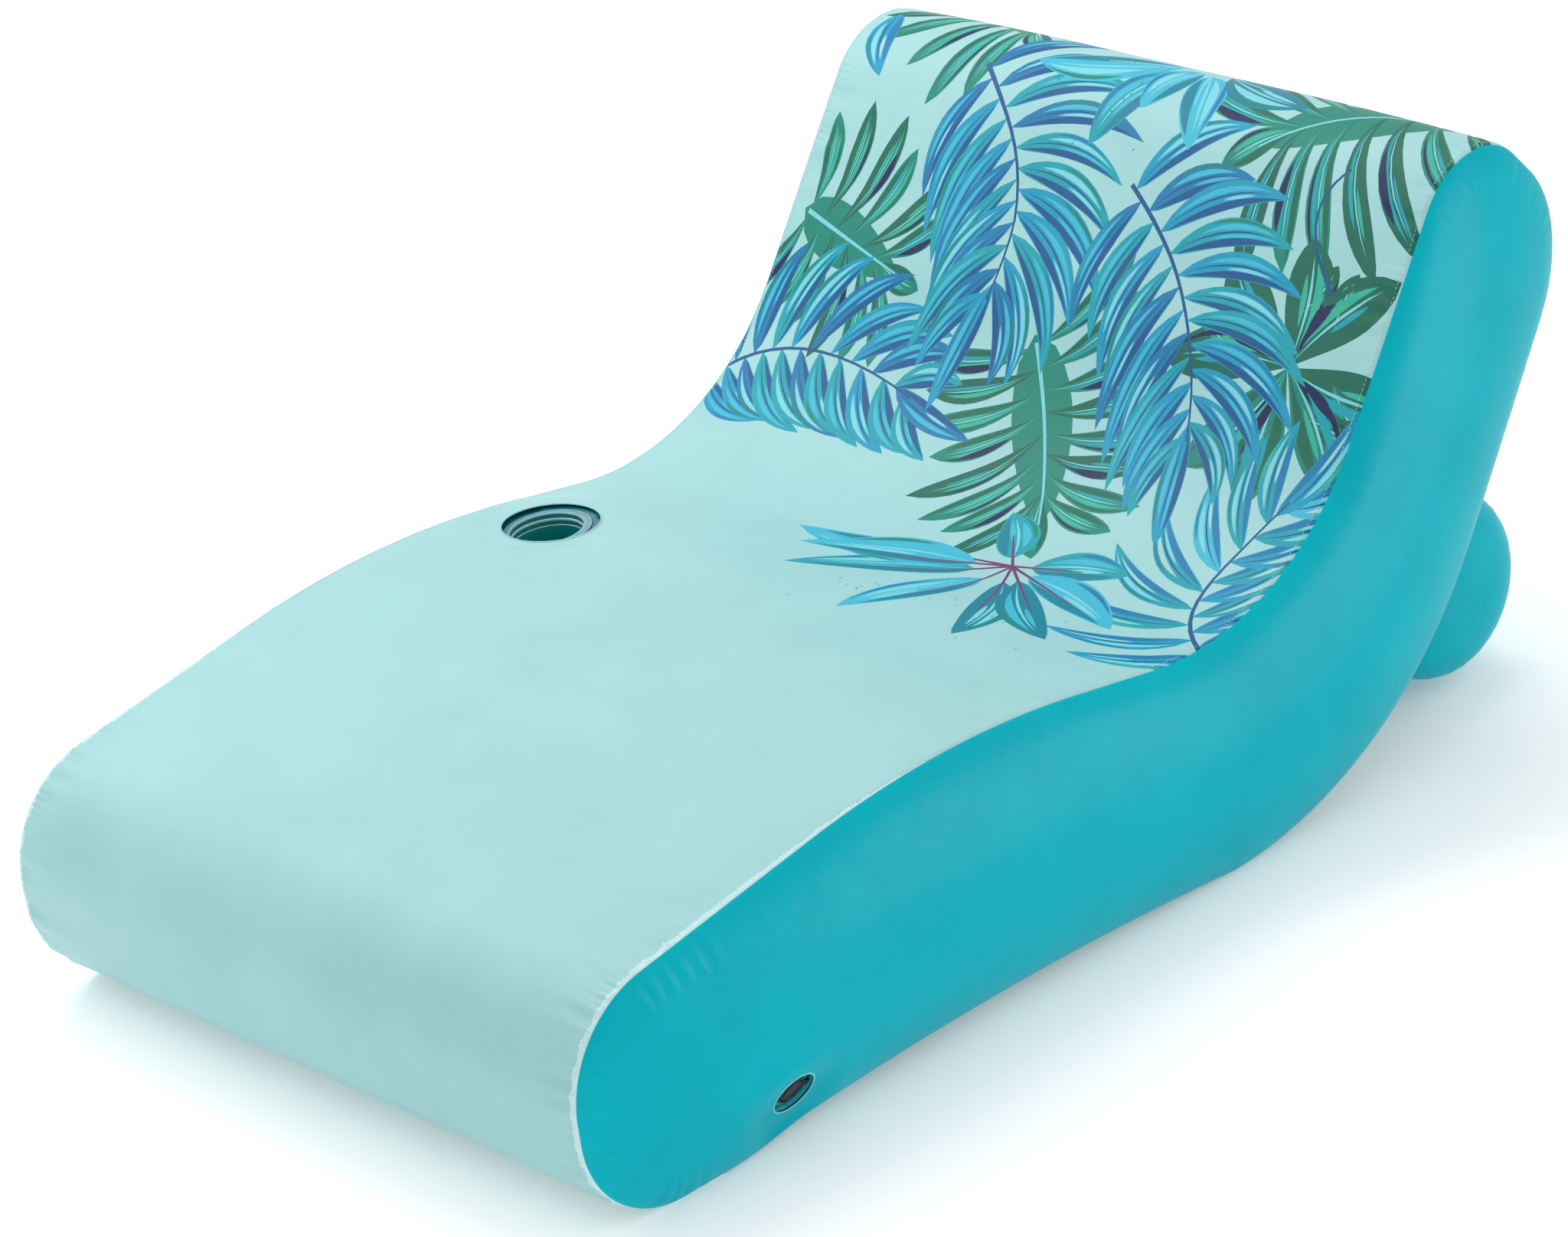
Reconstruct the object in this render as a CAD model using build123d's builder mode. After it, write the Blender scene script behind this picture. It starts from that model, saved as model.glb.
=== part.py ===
from build123d import *
import math
import os

# Inflatable pool lounger. A sewn fabric cover goes over an air bladder whose top and bottom
# sheets are held flat by transverse webs. A separate air bolster props the backrest from behind.
# Millimetres. +Z is up, +Y runs from the foot end to the backrest, +X is the inflation valve's side.
# The origin is on the floor, in the middle of the length and of the width.

# ---------------------------------------------------------------- driving dimensions
FOOT_Y = -726.0
REAR_Y = 726.0
CREST_Z = 636.0
FOOT_TOP_Z = 238.0
KNEE = (-210.0, 320.0)
HIP = (275.0, 232.5)
CREST_FRONT_Y = 568.0
CREST_REAR_Y = 655.0
BACK_UPPER_Z = 553.0
BACK_LOWER_Z = 459.0
HEEL_Y = 407.0

SIDE_SEAM_X = 440.0
HALF_WIDTH = 484.0
SIDE_ROUND = 44.0
CHINE_X = 430.0
CHINE_TILT = 30.0

COVER_T = 1.0
COVER_GAP = 0.5
SHEET_T = 0.8
WEB_T = 0.8
WEB_GAP = 0.2
WEB_HALF_LENGTH = 400.0

FOOT_SEAM_Y = -560.0
FOOT_WELD_Z = 113.0

SEAT_WEB_YS = (-600.0, -450.0, -300.0, -150.0, 60.0, 210.0)
HIP_WEB = ((370.0, 190.0), 60.0)
BACK_WEBS = (((470.0, 300.0), 36.0), ((540.0, 400.0), 36.0), ((610.0, 500.0), 36.0))
VENT_R = 12.0
VENT_SPACING = 200.0

CUP_MOUTH = (-343.0, -48.0, 288.0)
CUP_AXIS = (-0.03, 0.05, 1.0)
CUP_R = 40.0
CUP_WALL = 1.5
CUP_DEPTH = 96.0
CUP_FLANGE_R = 50.0
CUP_FLANGE_T = 2.0
COVER_CUP_R = 54.5
COVER_CUP_CENTRE = (-341.5, -42.0, 289.7)
COVER_CUP_SLOPE = 9.0
HEM_W = 1.8
HEM_T = 1.8
HEM_GAP = 0.2
CUT_REACH = 40.0

VALVE_Y = -481.0
VALVE_Z = 59.4
COVER_VALVE_R = 25.0
SOCKET_R = 17.5
INLET_R = 13.0
CAP_R = 17.0
CAP_HINGE_R = 20.0
CAP_HINGE_DIRECTION = (-0.936, -0.351)

BACK_ZIP_Z = 327.7
ZIP_LENGTH = 660.0
ZIP_SLOT_W = 8.0
ZIP_TAPE_W = 12.0

BOLSTER_CENTRE = (601.0, 121.0)
BOLSTER_R = 109.0
BOLSTER_HALF_LENGTH = 374.0
BOLSTER_GAP = 0.6
BOLSTER_ROUND = 14.0
BOLSTER_BEND = 20.0

# ---------------------------------------------------------------- derived values
BLADDER_OUT = COVER_T + COVER_GAP
BLADDER_IN = BLADDER_OUT + SHEET_T

SIDE_OUTLINE = (
    (FOOT_Y, 0.0),
    (FOOT_Y, FOOT_TOP_Z),
    KNEE,
    HIP,
    (CREST_FRONT_Y, CREST_Z),
    (CREST_REAR_Y, CREST_Z),
    (REAR_Y, BACK_UPPER_Z),
    (REAR_Y, BACK_LOWER_Z),
    (HEEL_Y, 0.0),
)
SIDE_RADII = (113.0, 122.0, 1094.0, 314.0, 100.0, 75.0, 110.0, 160.0, 478.0)

# The back of the float runs straight from its lower bend down to the heel.
back_rise = Vector(REAR_Y - HEEL_Y, BACK_LOWER_Z).normalized()
BACK_NORMAL = (back_rise.Y, -back_rise.X)
BACK_ZIP_POINT = (HEEL_Y + BACK_ZIP_Z * back_rise.X / back_rise.Y, BACK_ZIP_Z)

CREST_SEAM = (690.0, 595.0)
CREST_NORMAL = (0.751, 0.660)
SEAM_REACH_IN = 60.0
SEAM_REACH_OUT = 200.0
FAR = 900.0

CUP_PLANE = Plane(origin=CUP_MOUTH, x_dir=(1, 0, 0.03), z_dir=CUP_AXIS)
slope = math.radians(COVER_CUP_SLOPE)
CUP_OPENING_PLANE = Plane(
    origin=COVER_CUP_CENTRE, x_dir=(1, 0, 0), z_dir=(0, math.sin(slope), math.cos(slope))
)

chine = math.radians(CHINE_TILT)
VALVE_X = CHINE_X + VALVE_Z * math.tan(chine)
VALVE_PLANE = Plane(
    origin=(VALVE_X, VALVE_Y, VALVE_Z),
    x_dir=(0, 1, 0),
    z_dir=(math.cos(chine), 0, -math.sin(chine)),
)
ZIP_PLANE = Plane(
    origin=(0, *BACK_ZIP_POINT), x_dir=(1, 0, 0), z_dir=(0, *BACK_NORMAL)
)
BOLSTER_END_PLANE = Plane(
    origin=(-BOLSTER_HALF_LENGTH, *BOLSTER_CENTRE), x_dir=(0, 1, 0), z_dir=(-1, 0, 0)
)


# ---------------------------------------------------------------- shared forms
def side_profile(inset):
    """Side outline of the lounger, drawn in by inset."""
    with BuildSketch(Plane.YZ) as profile:
        with BuildLine():
            FilletPolyline(*SIDE_OUTLINE, radius=SIDE_RADII, close=True)
        make_face()
        if inset:
            offset(amount=-inset)
    return profile.sketch


def inflated_form(inset):
    """The lounger's outer form drawn in by inset: rounded sides that turn under at the floor."""
    with BuildPart() as form:
        extrude(side_profile(inset), amount=HALF_WIDTH - inset, both=True)
        by_x = form.faces().sort_by(Axis.X)
        fillet(by_x[0].edges() + by_x[-1].edges(), SIDE_ROUND - inset)
        for side in (-1, 1):
            normal = Vector(side * math.cos(chine), 0, -math.sin(chine))
            corner = Vector(side * CHINE_X, 0, 0) - normal * inset
            split(bisect_by=Plane(origin=corner, z_dir=normal), keep=Keep.BOTTOM)
    return form.part


def region(*points):
    """A flat region of the side view, used to cut a shell into its sewn or welded panels."""
    with BuildSketch(Plane.YZ) as area:
        with BuildLine():
            Polyline(*points, close=True)
        make_face()
    return area.sketch


def along(point, direction, distance):
    """The point at a distance from another, in the side view."""
    return (point[0] + direction[0] * distance, point[1] + direction[1] * distance)


def ring(plane, outer_r, inner_r, low, high):
    """A flat ring about a plane's axis, between two heights."""
    with BuildPart() as made:
        with BuildSketch(plane.offset(low)):
            Circle(outer_r)
            Circle(inner_r, mode=Mode.SUBTRACT)
        extrude(amount=high - low)
    return made.part


def turned(plane, *outline):
    """A solid turned about a plane's axis, from an outline of radius and height pairs."""
    with BuildPart() as made:
        with BuildSketch(Plane(origin=plane.origin, x_dir=plane.x_dir, z_dir=-plane.y_dir)):
            with BuildLine():
                Polyline(*outline, close=True)
            make_face()
        revolve(axis=Axis(plane.origin, plane.z_dir))
    return made.part


def save(piece, name):
    """Label a finished piece and write it."""
    piece.part.label = name
    export_step(piece.part, f"parts/{name}.step")


os.makedirs("parts", exist_ok=True)

crest_in = along(CREST_SEAM, CREST_NORMAL, -SEAM_REACH_IN)
crest_out = along(CREST_SEAM, CREST_NORMAL, SEAM_REACH_OUT)
zip_in = along(BACK_ZIP_POINT, BACK_NORMAL, -SEAM_REACH_IN)
zip_out = along(BACK_ZIP_POINT, BACK_NORMAL, SEAM_REACH_OUT)
CORE_FOOT = (FOOT_SEAM_Y, 100.0)
CORE_HIP = (300.0, 130.0)
CORE_BACK = (560.0, 400.0)

TOP_REGION = region(
    CORE_FOOT,
    (FOOT_SEAM_Y, -FAR),
    (-FAR, -FAR),
    (-FAR, FAR),
    (crest_out[0], FAR),
    crest_out,
    crest_in,
    CORE_BACK,
    CORE_HIP,
)
BACK_REGION = region(crest_in, crest_out, (FAR, crest_out[1]), (FAR, zip_out[1]), zip_out, zip_in)
UNDERSIDE_REGION = region(
    zip_in,
    zip_out,
    (zip_out[0], -FAR),
    (FOOT_SEAM_Y, -FAR),
    CORE_FOOT,
    CORE_HIP,
)
BLADDER_TOP_REGION = region(
    (CORE_FOOT[0], FOOT_WELD_Z),
    (-FAR, FOOT_WELD_Z),
    (-FAR, FAR),
    (crest_out[0], FAR),
    crest_out,
    crest_in,
    CORE_BACK,
    CORE_HIP,
)
BLADDER_BOTTOM_REGION = region(
    (CORE_FOOT[0], FOOT_WELD_Z),
    (-FAR, FOOT_WELD_Z),
    (-FAR, -FAR),
    (FAR, -FAR),
    (FAR, crest_out[1]),
    crest_out,
    crest_in,
    CORE_BACK,
    CORE_HIP,
)

# ---------------------------------------------------------------- fabric cover
with BuildPart() as cover_shell:
    add(inflated_form(0.0))
    add(inflated_form(COVER_T), mode=Mode.SUBTRACT)
    with BuildSketch(CUP_OPENING_PLANE):
        Circle(COVER_CUP_R)
    extrude(amount=CUT_REACH, both=True, mode=Mode.SUBTRACT)
    with BuildSketch(VALVE_PLANE):
        Circle(COVER_VALVE_R)
    extrude(amount=CUT_REACH, both=True, mode=Mode.SUBTRACT)
    with BuildSketch(ZIP_PLANE):
        Rectangle(ZIP_LENGTH, ZIP_SLOT_W)
    extrude(amount=CUT_REACH, both=True, mode=Mode.SUBTRACT)

with BuildPart() as cover_side_right:
    add(cover_shell.part)
    split(bisect_by=Plane.YZ.offset(SIDE_SEAM_X), keep=Keep.TOP)
save(cover_side_right, "cover_side_right")

with BuildPart() as cover_side_left:
    add(cover_shell.part)
    split(bisect_by=Plane.YZ.offset(-SIDE_SEAM_X), keep=Keep.BOTTOM)
save(cover_side_left, "cover_side_left")

with BuildPart() as cover_top_panel:
    add(cover_shell.part)
    extrude(TOP_REGION, amount=SIDE_SEAM_X, both=True, mode=Mode.INTERSECT)
save(cover_top_panel, "cover_top_panel")

with BuildPart() as cover_back_panel:
    add(cover_shell.part)
    extrude(BACK_REGION, amount=SIDE_SEAM_X, both=True, mode=Mode.INTERSECT)
save(cover_back_panel, "cover_back_panel")

with BuildPart() as cover_underside_panel:
    add(cover_shell.part)
    extrude(UNDERSIDE_REGION, amount=SIDE_SEAM_X, both=True, mode=Mode.INTERSECT)
save(cover_underside_panel, "cover_underside_panel")

# The two openings in the cover are edged with a narrow sewn hem.
with BuildPart() as cup_opening_hem:
    add(ring(CUP_OPENING_PLANE, COVER_CUP_R - HEM_GAP, COVER_CUP_R - HEM_W, 0.0, HEM_T))
save(cup_opening_hem, "cup_opening_hem")

with BuildPart() as valve_opening_hem:
    add(ring(VALVE_PLANE, COVER_VALVE_R + HEM_W, COVER_VALVE_R, 0.0, HEM_T / 2))
save(valve_opening_hem, "valve_opening_hem")

# ---------------------------------------------------------------- zip across the back
TAPE_T = 0.6
TAPE_CORNER = 2.0
COIL_W = 6.0
COIL_T = 1.8
STOP_SIZE = (3.0, 14.0, 1.6)
SLIDER_SIZE = (10.0, 14.0, 4.0)
SLIDER_CORNER = 2.5
SLIDER_PARK_X = 315.0
SLIDER_BASE = 1.4
LUG_SIZE = (1.2, 4.0, 3.8)
PIN_ABOVE_SLIDER = 2.6
PIN_R = 0.9
PULL_SIZE = (5.8, 30.0, 1.4)
PULL_CORNER = 2.0
PULL_EYE_R = 2.2
PULL_EYE_GAP = 0.05
PULL_HOLE_R = 1.5
PULL_HOLE_UP = 4.0

for name, side in (("zip_tape_upper", -1), ("zip_tape_lower", 1)):
    with BuildPart() as zip_tape:
        with BuildSketch(ZIP_PLANE):
            with Locations((0, side * (ZIP_SLOT_W + ZIP_TAPE_W) / 2)):
                RectangleRounded(ZIP_LENGTH, ZIP_TAPE_W, TAPE_CORNER)
        extrude(amount=TAPE_T)
    save(zip_tape, name)

with BuildPart() as zip_coil:
    with BuildSketch(ZIP_PLANE.offset(-COIL_T / 2)):
        Rectangle(ZIP_LENGTH - 4 * STOP_SIZE[0], COIL_W)
    extrude(amount=COIL_T)
save(zip_coil, "zip_coil")

with BuildPart() as zip_end_stops:
    with BuildSketch(ZIP_PLANE.offset(TAPE_T)):
        with GridLocations(ZIP_LENGTH - 3 * STOP_SIZE[0], 1, 2, 1):
            Rectangle(STOP_SIZE[0], STOP_SIZE[1])
    extrude(amount=STOP_SIZE[2])
save(zip_end_stops, "zip_end_stops")

# The slider rides on the coil, and its pull hangs from a pin between two lugs.
slider_origin = ZIP_PLANE.from_local_coords((SLIDER_PARK_X, 0, SLIDER_BASE))
SLIDER_PLANE = Plane(origin=slider_origin, x_dir=ZIP_PLANE.x_dir, z_dir=ZIP_PLANE.z_dir)
PIN_HEIGHT = SLIDER_SIZE[2] + PIN_ABOVE_SLIDER
LUG_SPACING = SLIDER_SIZE[0] - LUG_SIZE[0]
PIN_LENGTH = SLIDER_SIZE[0] - LUG_SIZE[0]
with BuildPart() as zip_slider:
    with BuildSketch(SLIDER_PLANE):
        RectangleRounded(SLIDER_SIZE[0], SLIDER_SIZE[1], SLIDER_CORNER)
    extrude(amount=SLIDER_SIZE[2])
    with BuildSketch(SLIDER_PLANE.offset(SLIDER_SIZE[2])):
        with GridLocations(LUG_SPACING, 1, 2, 1):
            Rectangle(LUG_SIZE[0], LUG_SIZE[1])
    extrude(amount=LUG_SIZE[2])
    pin_start = SLIDER_PLANE.from_local_coords((-PIN_LENGTH / 2, 0, PIN_HEIGHT))
    with BuildSketch(Plane(origin=pin_start, z_dir=(1, 0, 0))):
        Circle(PIN_R)
    extrude(amount=PIN_LENGTH)
save(zip_slider, "zip_slider")

PIN_CENTRE = SLIDER_PLANE.from_local_coords((0, 0, PIN_HEIGHT))
PULL_PLANE = Plane(origin=PIN_CENTRE, x_dir=(1, 0, 0), z_dir=(0, 1, 0))
eye_start = PIN_CENTRE - Vector(PULL_SIZE[0] / 2, 0, 0)
with BuildPart() as zip_pull:
    with BuildSketch(Plane(origin=eye_start, z_dir=(1, 0, 0))):
        Circle(PULL_EYE_R)
        Circle(PIN_R + PULL_EYE_GAP, mode=Mode.SUBTRACT)
    extrude(amount=PULL_SIZE[0])
    with BuildSketch(PULL_PLANE.offset(-PULL_SIZE[2] / 2)):
        with Locations((0, (PULL_EYE_R + PIN_R) / 2 + PULL_SIZE[1] / 2)):
            RectangleRounded(PULL_SIZE[0], PULL_SIZE[1], PULL_CORNER)
        with Locations((0, PIN_R + PULL_SIZE[1] - PULL_HOLE_UP)):
            Circle(PULL_HOLE_R, mode=Mode.SUBTRACT)
    extrude(amount=PULL_SIZE[2])
save(zip_pull, "zip_pull")

# ---------------------------------------------------------------- air bladder
WELD_GAP = 1.0
with BuildPart() as bladder_shell:
    add(inflated_form(BLADDER_OUT))
    add(inflated_form(BLADDER_IN), mode=Mode.SUBTRACT)
    with BuildSketch(CUP_PLANE):
        Circle(CUP_FLANGE_R + WELD_GAP)
    extrude(amount=CUT_REACH, both=True, mode=Mode.SUBTRACT)
    with BuildSketch(VALVE_PLANE):
        Circle(COVER_VALVE_R + WELD_GAP)
    extrude(amount=CUT_REACH, both=True, mode=Mode.SUBTRACT)

with BuildPart() as bladder_side_right:
    add(bladder_shell.part)
    split(bisect_by=Plane.YZ.offset(SIDE_SEAM_X), keep=Keep.TOP)
save(bladder_side_right, "bladder_side_right")

with BuildPart() as bladder_side_left:
    add(bladder_shell.part)
    split(bisect_by=Plane.YZ.offset(-SIDE_SEAM_X), keep=Keep.BOTTOM)
save(bladder_side_left, "bladder_side_left")

with BuildPart() as bladder_top_sheet:
    add(bladder_shell.part)
    extrude(BLADDER_TOP_REGION, amount=SIDE_SEAM_X, both=True, mode=Mode.INTERSECT)
save(bladder_top_sheet, "bladder_top_sheet")

with BuildPart() as bladder_bottom_sheet:
    add(bladder_shell.part)
    extrude(BLADDER_BOTTOM_REGION, amount=SIDE_SEAM_X, both=True, mode=Mode.INTERSECT)
save(bladder_bottom_sheet, "bladder_bottom_sheet")

# Transverse webs join the top sheet to the bottom sheet. Holes let the air pass between them.
air_space = side_profile(BLADDER_IN + WEB_GAP)
WEB_SPAN = 360.0
SEAT_WEB_Z = 140.0


def web(centre, tilt):
    """One web: an upright sheet across the float through a point of the side view."""
    lean = math.radians(tilt)
    facing = Vector(0, math.cos(lean), math.sin(lean))
    plate = Plane(origin=(0, *centre), x_dir=(1, 0, 0), z_dir=facing)
    with BuildPart() as made:
        with BuildSketch(plate.offset(-WEB_T / 2)):
            Rectangle(2 * WEB_HALF_LENGTH, WEB_SPAN)
            with GridLocations(VENT_SPACING, 1, 4, 1):
                Circle(VENT_R, mode=Mode.SUBTRACT)
        extrude(amount=WEB_T)
        extrude(air_space, amount=WEB_HALF_LENGTH, both=True, mode=Mode.INTERSECT)
    return made


for number, web_y in enumerate(SEAT_WEB_YS, 1):
    save(web((web_y, SEAT_WEB_Z), 0.0), f"seat_web_{number}")
save(web(*HIP_WEB), "hip_web")
for number, place in enumerate(BACK_WEBS, 1):
    save(web(*place), f"back_web_{number}")

# ---------------------------------------------------------------- cup holder
with BuildPart() as cup_flange:
    add(ring(CUP_PLANE, CUP_FLANGE_R, CUP_R, -CUP_FLANGE_T, 0.0))
save(cup_flange, "cup_flange")

with BuildPart() as cup_well:
    add(ring(CUP_PLANE, CUP_R + CUP_WALL, CUP_R, -CUP_DEPTH, -CUP_FLANGE_T))
save(cup_well, "cup_well")

with BuildPart() as cup_floor:
    with BuildSketch(CUP_PLANE.offset(-CUP_DEPTH - CUP_WALL)):
        Circle(CUP_R + CUP_WALL)
    extrude(amount=CUP_WALL)
save(cup_floor, "cup_floor")

# ---------------------------------------------------------------- main inflation valve
# Heights are along the valve's axis from the cover's outer face, negative going in.
LIP_OUT_R = COVER_VALVE_R + 0.9
LIP_IN_R = LIP_OUT_R - 1.5
FLANGE_R = 33.0
FLANGE_HIGH = -BLADDER_IN - 0.1
FLANGE_LOW = FLANGE_HIGH - 1.2
SHELF_HIGH = -8.0
SHELF_LOW = -9.5
SOCKET_WALL = 2.5
SOCKET_LOW = -24.0
SEAL_T = 0.8
SEAL_OUT_R = 21.9
SEAL_IN_R = 17.9
BODY_LOW = -22.0
BODY_HIGH = -5.7
BODY_RIM_R = 22.4
RUNNING = 0.07

with BuildPart() as valve_base:
    add(
        turned(
            VALVE_PLANE,
            (LIP_OUT_R, -BLADDER_OUT),
            (LIP_OUT_R, FLANGE_HIGH),
            (FLANGE_R, FLANGE_HIGH),
            (FLANGE_R, FLANGE_LOW),
            (LIP_OUT_R, FLANGE_LOW),
            (LIP_OUT_R, SHELF_LOW),
            (SOCKET_R + SOCKET_WALL, SHELF_LOW),
            (SOCKET_R + SOCKET_WALL, SOCKET_LOW),
            (SOCKET_R, SOCKET_LOW),
            (SOCKET_R, SHELF_HIGH),
            (LIP_IN_R, SHELF_HIGH),
            (LIP_IN_R, -BLADDER_OUT),
        )
    )
save(valve_base, "valve_base")

with BuildPart() as valve_gasket:
    add(ring(VALVE_PLANE, SEAL_OUT_R, SEAL_IN_R, SHELF_HIGH, SHELF_HIGH + SEAL_T))
save(valve_gasket, "valve_gasket")

BODY_R = SOCKET_R - RUNNING
RIM_LOW = SHELF_HIGH + SEAL_T
CROSS_BAR_W = 2.4
CROSS_BAR_T = 1.6
CROSS_BAR_LENGTH = 2 * INLET_R + 1
with BuildPart() as valve_body:
    add(
        turned(
            VALVE_PLANE,
            (INLET_R, BODY_HIGH),
            (BODY_RIM_R, BODY_HIGH),
            (BODY_RIM_R, RIM_LOW),
            (BODY_R, RIM_LOW),
            (BODY_R, BODY_LOW),
            (INLET_R, BODY_LOW),
        )
    )
    with BuildSketch(VALVE_PLANE.offset(BODY_LOW)):
        Rectangle(CROSS_BAR_LENGTH, CROSS_BAR_W)
        Rectangle(CROSS_BAR_W, CROSS_BAR_LENGTH)
    extrude(amount=CROSS_BAR_T)
save(valve_body, "valve_body")

# The flap hangs behind the body's cross bars and closes against them under air pressure.
# It swings on a round bead at its edge.
FLAP_R = 14.8
FLAP_T = 0.8
FLAP_TOP = BODY_LOW - 0.3
FLAP_HINGE_R = 14.5
FLAP_BEAD_R = 0.6
FLAP_BEAD_LENGTH = 8.0
flap_bead_start = VALVE_PLANE.from_local_coords(
    (-FLAP_BEAD_LENGTH / 2, FLAP_HINGE_R, FLAP_TOP - FLAP_T / 2)
)
with BuildPart() as valve_flap:
    with BuildSketch(VALVE_PLANE.offset(FLAP_TOP - FLAP_T)):
        Circle(FLAP_R)
    extrude(amount=FLAP_T)
    with BuildSketch(Plane(origin=flap_bead_start, z_dir=VALVE_PLANE.x_dir)):
        Circle(FLAP_BEAD_R)
    extrude(amount=FLAP_BEAD_LENGTH)
save(valve_flap, "valve_flap")

# The cap plugs the inlet with a tapered skirt. It swings on a round bead at the end of its lug.
CAP_LOW = BODY_HIGH + 0.3
CAP_T = 2.5
CAP_EDGE = 0.6
SKIRT_DEPTH = 4.3
SKIRT_IN_R = INLET_R - 2.0
SKIRT_TIP_R = INLET_R - 0.6
SKIRT_TOP_R = INLET_R - 0.1
TAB_SIZE = (9.0, 8.0, 1.2)
TAB_REACH = CAP_R + 2.3
LUG_LENGTH = 5.2
LUG_W = 6.0
LUG_T = 1.2
CAP_BEAD_R = 0.8
CAP_BEAD_LENGTH = 6.0
hinge_x, hinge_y = CAP_HINGE_DIRECTION
hinge_angle = math.degrees(math.atan2(hinge_y, hinge_x))
hinge_height = CAP_LOW + LUG_T / 2
cap_bead_start = VALVE_PLANE.from_local_coords(
    (
        CAP_HINGE_R * hinge_x + hinge_y * CAP_BEAD_LENGTH / 2,
        CAP_HINGE_R * hinge_y - hinge_x * CAP_BEAD_LENGTH / 2,
        hinge_height,
    )
)
cap_bead_end = VALVE_PLANE.from_local_coords(
    (
        CAP_HINGE_R * hinge_x - hinge_y * CAP_BEAD_LENGTH / 2,
        CAP_HINGE_R * hinge_y + hinge_x * CAP_BEAD_LENGTH / 2,
        hinge_height,
    )
)
with BuildPart() as valve_cap:
    add(
        turned(
            VALVE_PLANE,
            (0, CAP_LOW),
            (SKIRT_IN_R, CAP_LOW),
            (SKIRT_IN_R, CAP_LOW - SKIRT_DEPTH),
            (SKIRT_TIP_R, CAP_LOW - SKIRT_DEPTH),
            (SKIRT_TOP_R, CAP_LOW),
            (CAP_R, CAP_LOW),
            (CAP_R, CAP_LOW + CAP_T - CAP_EDGE),
            (CAP_R - CAP_EDGE, CAP_LOW + CAP_T),
            (0, CAP_LOW + CAP_T),
        )
    )
    with BuildSketch(VALVE_PLANE.offset(CAP_LOW + CAP_T - TAB_SIZE[2])):
        with Locations((TAB_REACH, 0)):
            SlotOverall(TAB_SIZE[0], TAB_SIZE[1])
    extrude(amount=TAB_SIZE[2])
    with BuildSketch(VALVE_PLANE.offset(CAP_LOW)):
        with Locations(Location((hinge_x * CAP_R, hinge_y * CAP_R, 0), hinge_angle)):
            Rectangle(LUG_LENGTH, LUG_W)
    extrude(amount=LUG_T)
    with BuildSketch(Plane(origin=cap_bead_start, z_dir=cap_bead_end - cap_bead_start)):
        Circle(CAP_BEAD_R)
    extrude(amount=CAP_BEAD_LENGTH)
save(valve_cap, "valve_cap")

STRAP_IN_R = BODY_RIM_R + 0.1
STRAP_W = 1.2
STRAP_TONGUE = (STRAP_W, 7.0, 0.8)
with BuildPart() as valve_cap_strap:
    add(ring(VALVE_PLANE, STRAP_IN_R + STRAP_W, STRAP_IN_R, RIM_LOW, BODY_HIGH))
    with BuildSketch(VALVE_PLANE.offset(BODY_HIGH)):
        strap_r = STRAP_IN_R + STRAP_W / 2
        with Locations(Location((hinge_x * strap_r, hinge_y * strap_r, 0), hinge_angle)):
            Rectangle(STRAP_TONGUE[0], STRAP_TONGUE[1])
    extrude(amount=STRAP_TONGUE[2])
save(valve_cap_strap, "valve_cap_strap")

# ---------------------------------------------------------------- bolster behind the backrest
# The bolster leans on the round of the heel, whose centre is above the floor by its radius.
heel_r = SIDE_RADII[-1]
heel_turn = math.atan2(BACK_LOWER_Z, REAR_Y - HEEL_Y)
heel_centre = Vector(0, HEEL_Y - heel_r * math.tan(heel_turn / 2), heel_r)
to_heel = heel_centre - Vector(0, *BOLSTER_CENTRE)
LEAN_DIRECTION = to_heel.normalized()
LEAN_DISTANCE = to_heel.length - heel_r - BOLSTER_GAP


def bolster_form(inset):
    """The bolster's closed outer form, drawn in by inset, flat where it leans on the float."""
    with BuildPart() as form:
        with BuildSketch(Plane.YZ):
            with Locations(BOLSTER_CENTRE):
                Circle(BOLSTER_R - inset)
        extrude(amount=BOLSTER_HALF_LENGTH - inset, both=True)
        leaning = Plane(
            origin=Vector(0, *BOLSTER_CENTRE) + LEAN_DIRECTION * (LEAN_DISTANCE - inset),
            z_dir=LEAN_DIRECTION,
        )
        split(bisect_by=leaning, keep=Keep.BOTTOM)
        flat = form.faces().filter_by(GeomType.PLANE).sort_by(Axis((0, 0, 0), LEAN_DIRECTION))[-1]
        fillet(flat.edges().filter_by(Axis.X), BOLSTER_BEND - inset)
        by_x = form.faces().sort_by(Axis.X)
        fillet(by_x[0].edges() + by_x[-1].edges(), BOLSTER_ROUND - inset)
    return form.part


END_SEAM = BOLSTER_HALF_LENGTH - BOLSTER_ROUND
END_HOLE_R = 20.0
STEM_R = 6.0
STEM_BORE_R = 3.2
BASE_WALL = 2.9
SLEEVE_GAP = 0.1

with BuildPart() as bolster_shell:
    add(bolster_form(0.0))
    add(bolster_form(COVER_T), mode=Mode.SUBTRACT)
    with BuildSketch(BOLSTER_END_PLANE):
        Circle(END_HOLE_R)
    extrude(amount=CUT_REACH, both=True, mode=Mode.SUBTRACT)

with BuildPart() as bolster_cover:
    add(bolster_shell.part)
    split(bisect_by=Plane.YZ.offset(END_SEAM), keep=Keep.BOTTOM)
    split(bisect_by=Plane.YZ.offset(-END_SEAM), keep=Keep.TOP)
save(bolster_cover, "bolster_cover")

with BuildPart() as bolster_end_right:
    add(bolster_shell.part)
    split(bisect_by=Plane.YZ.offset(END_SEAM), keep=Keep.TOP)
save(bolster_end_right, "bolster_end_right")

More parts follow.
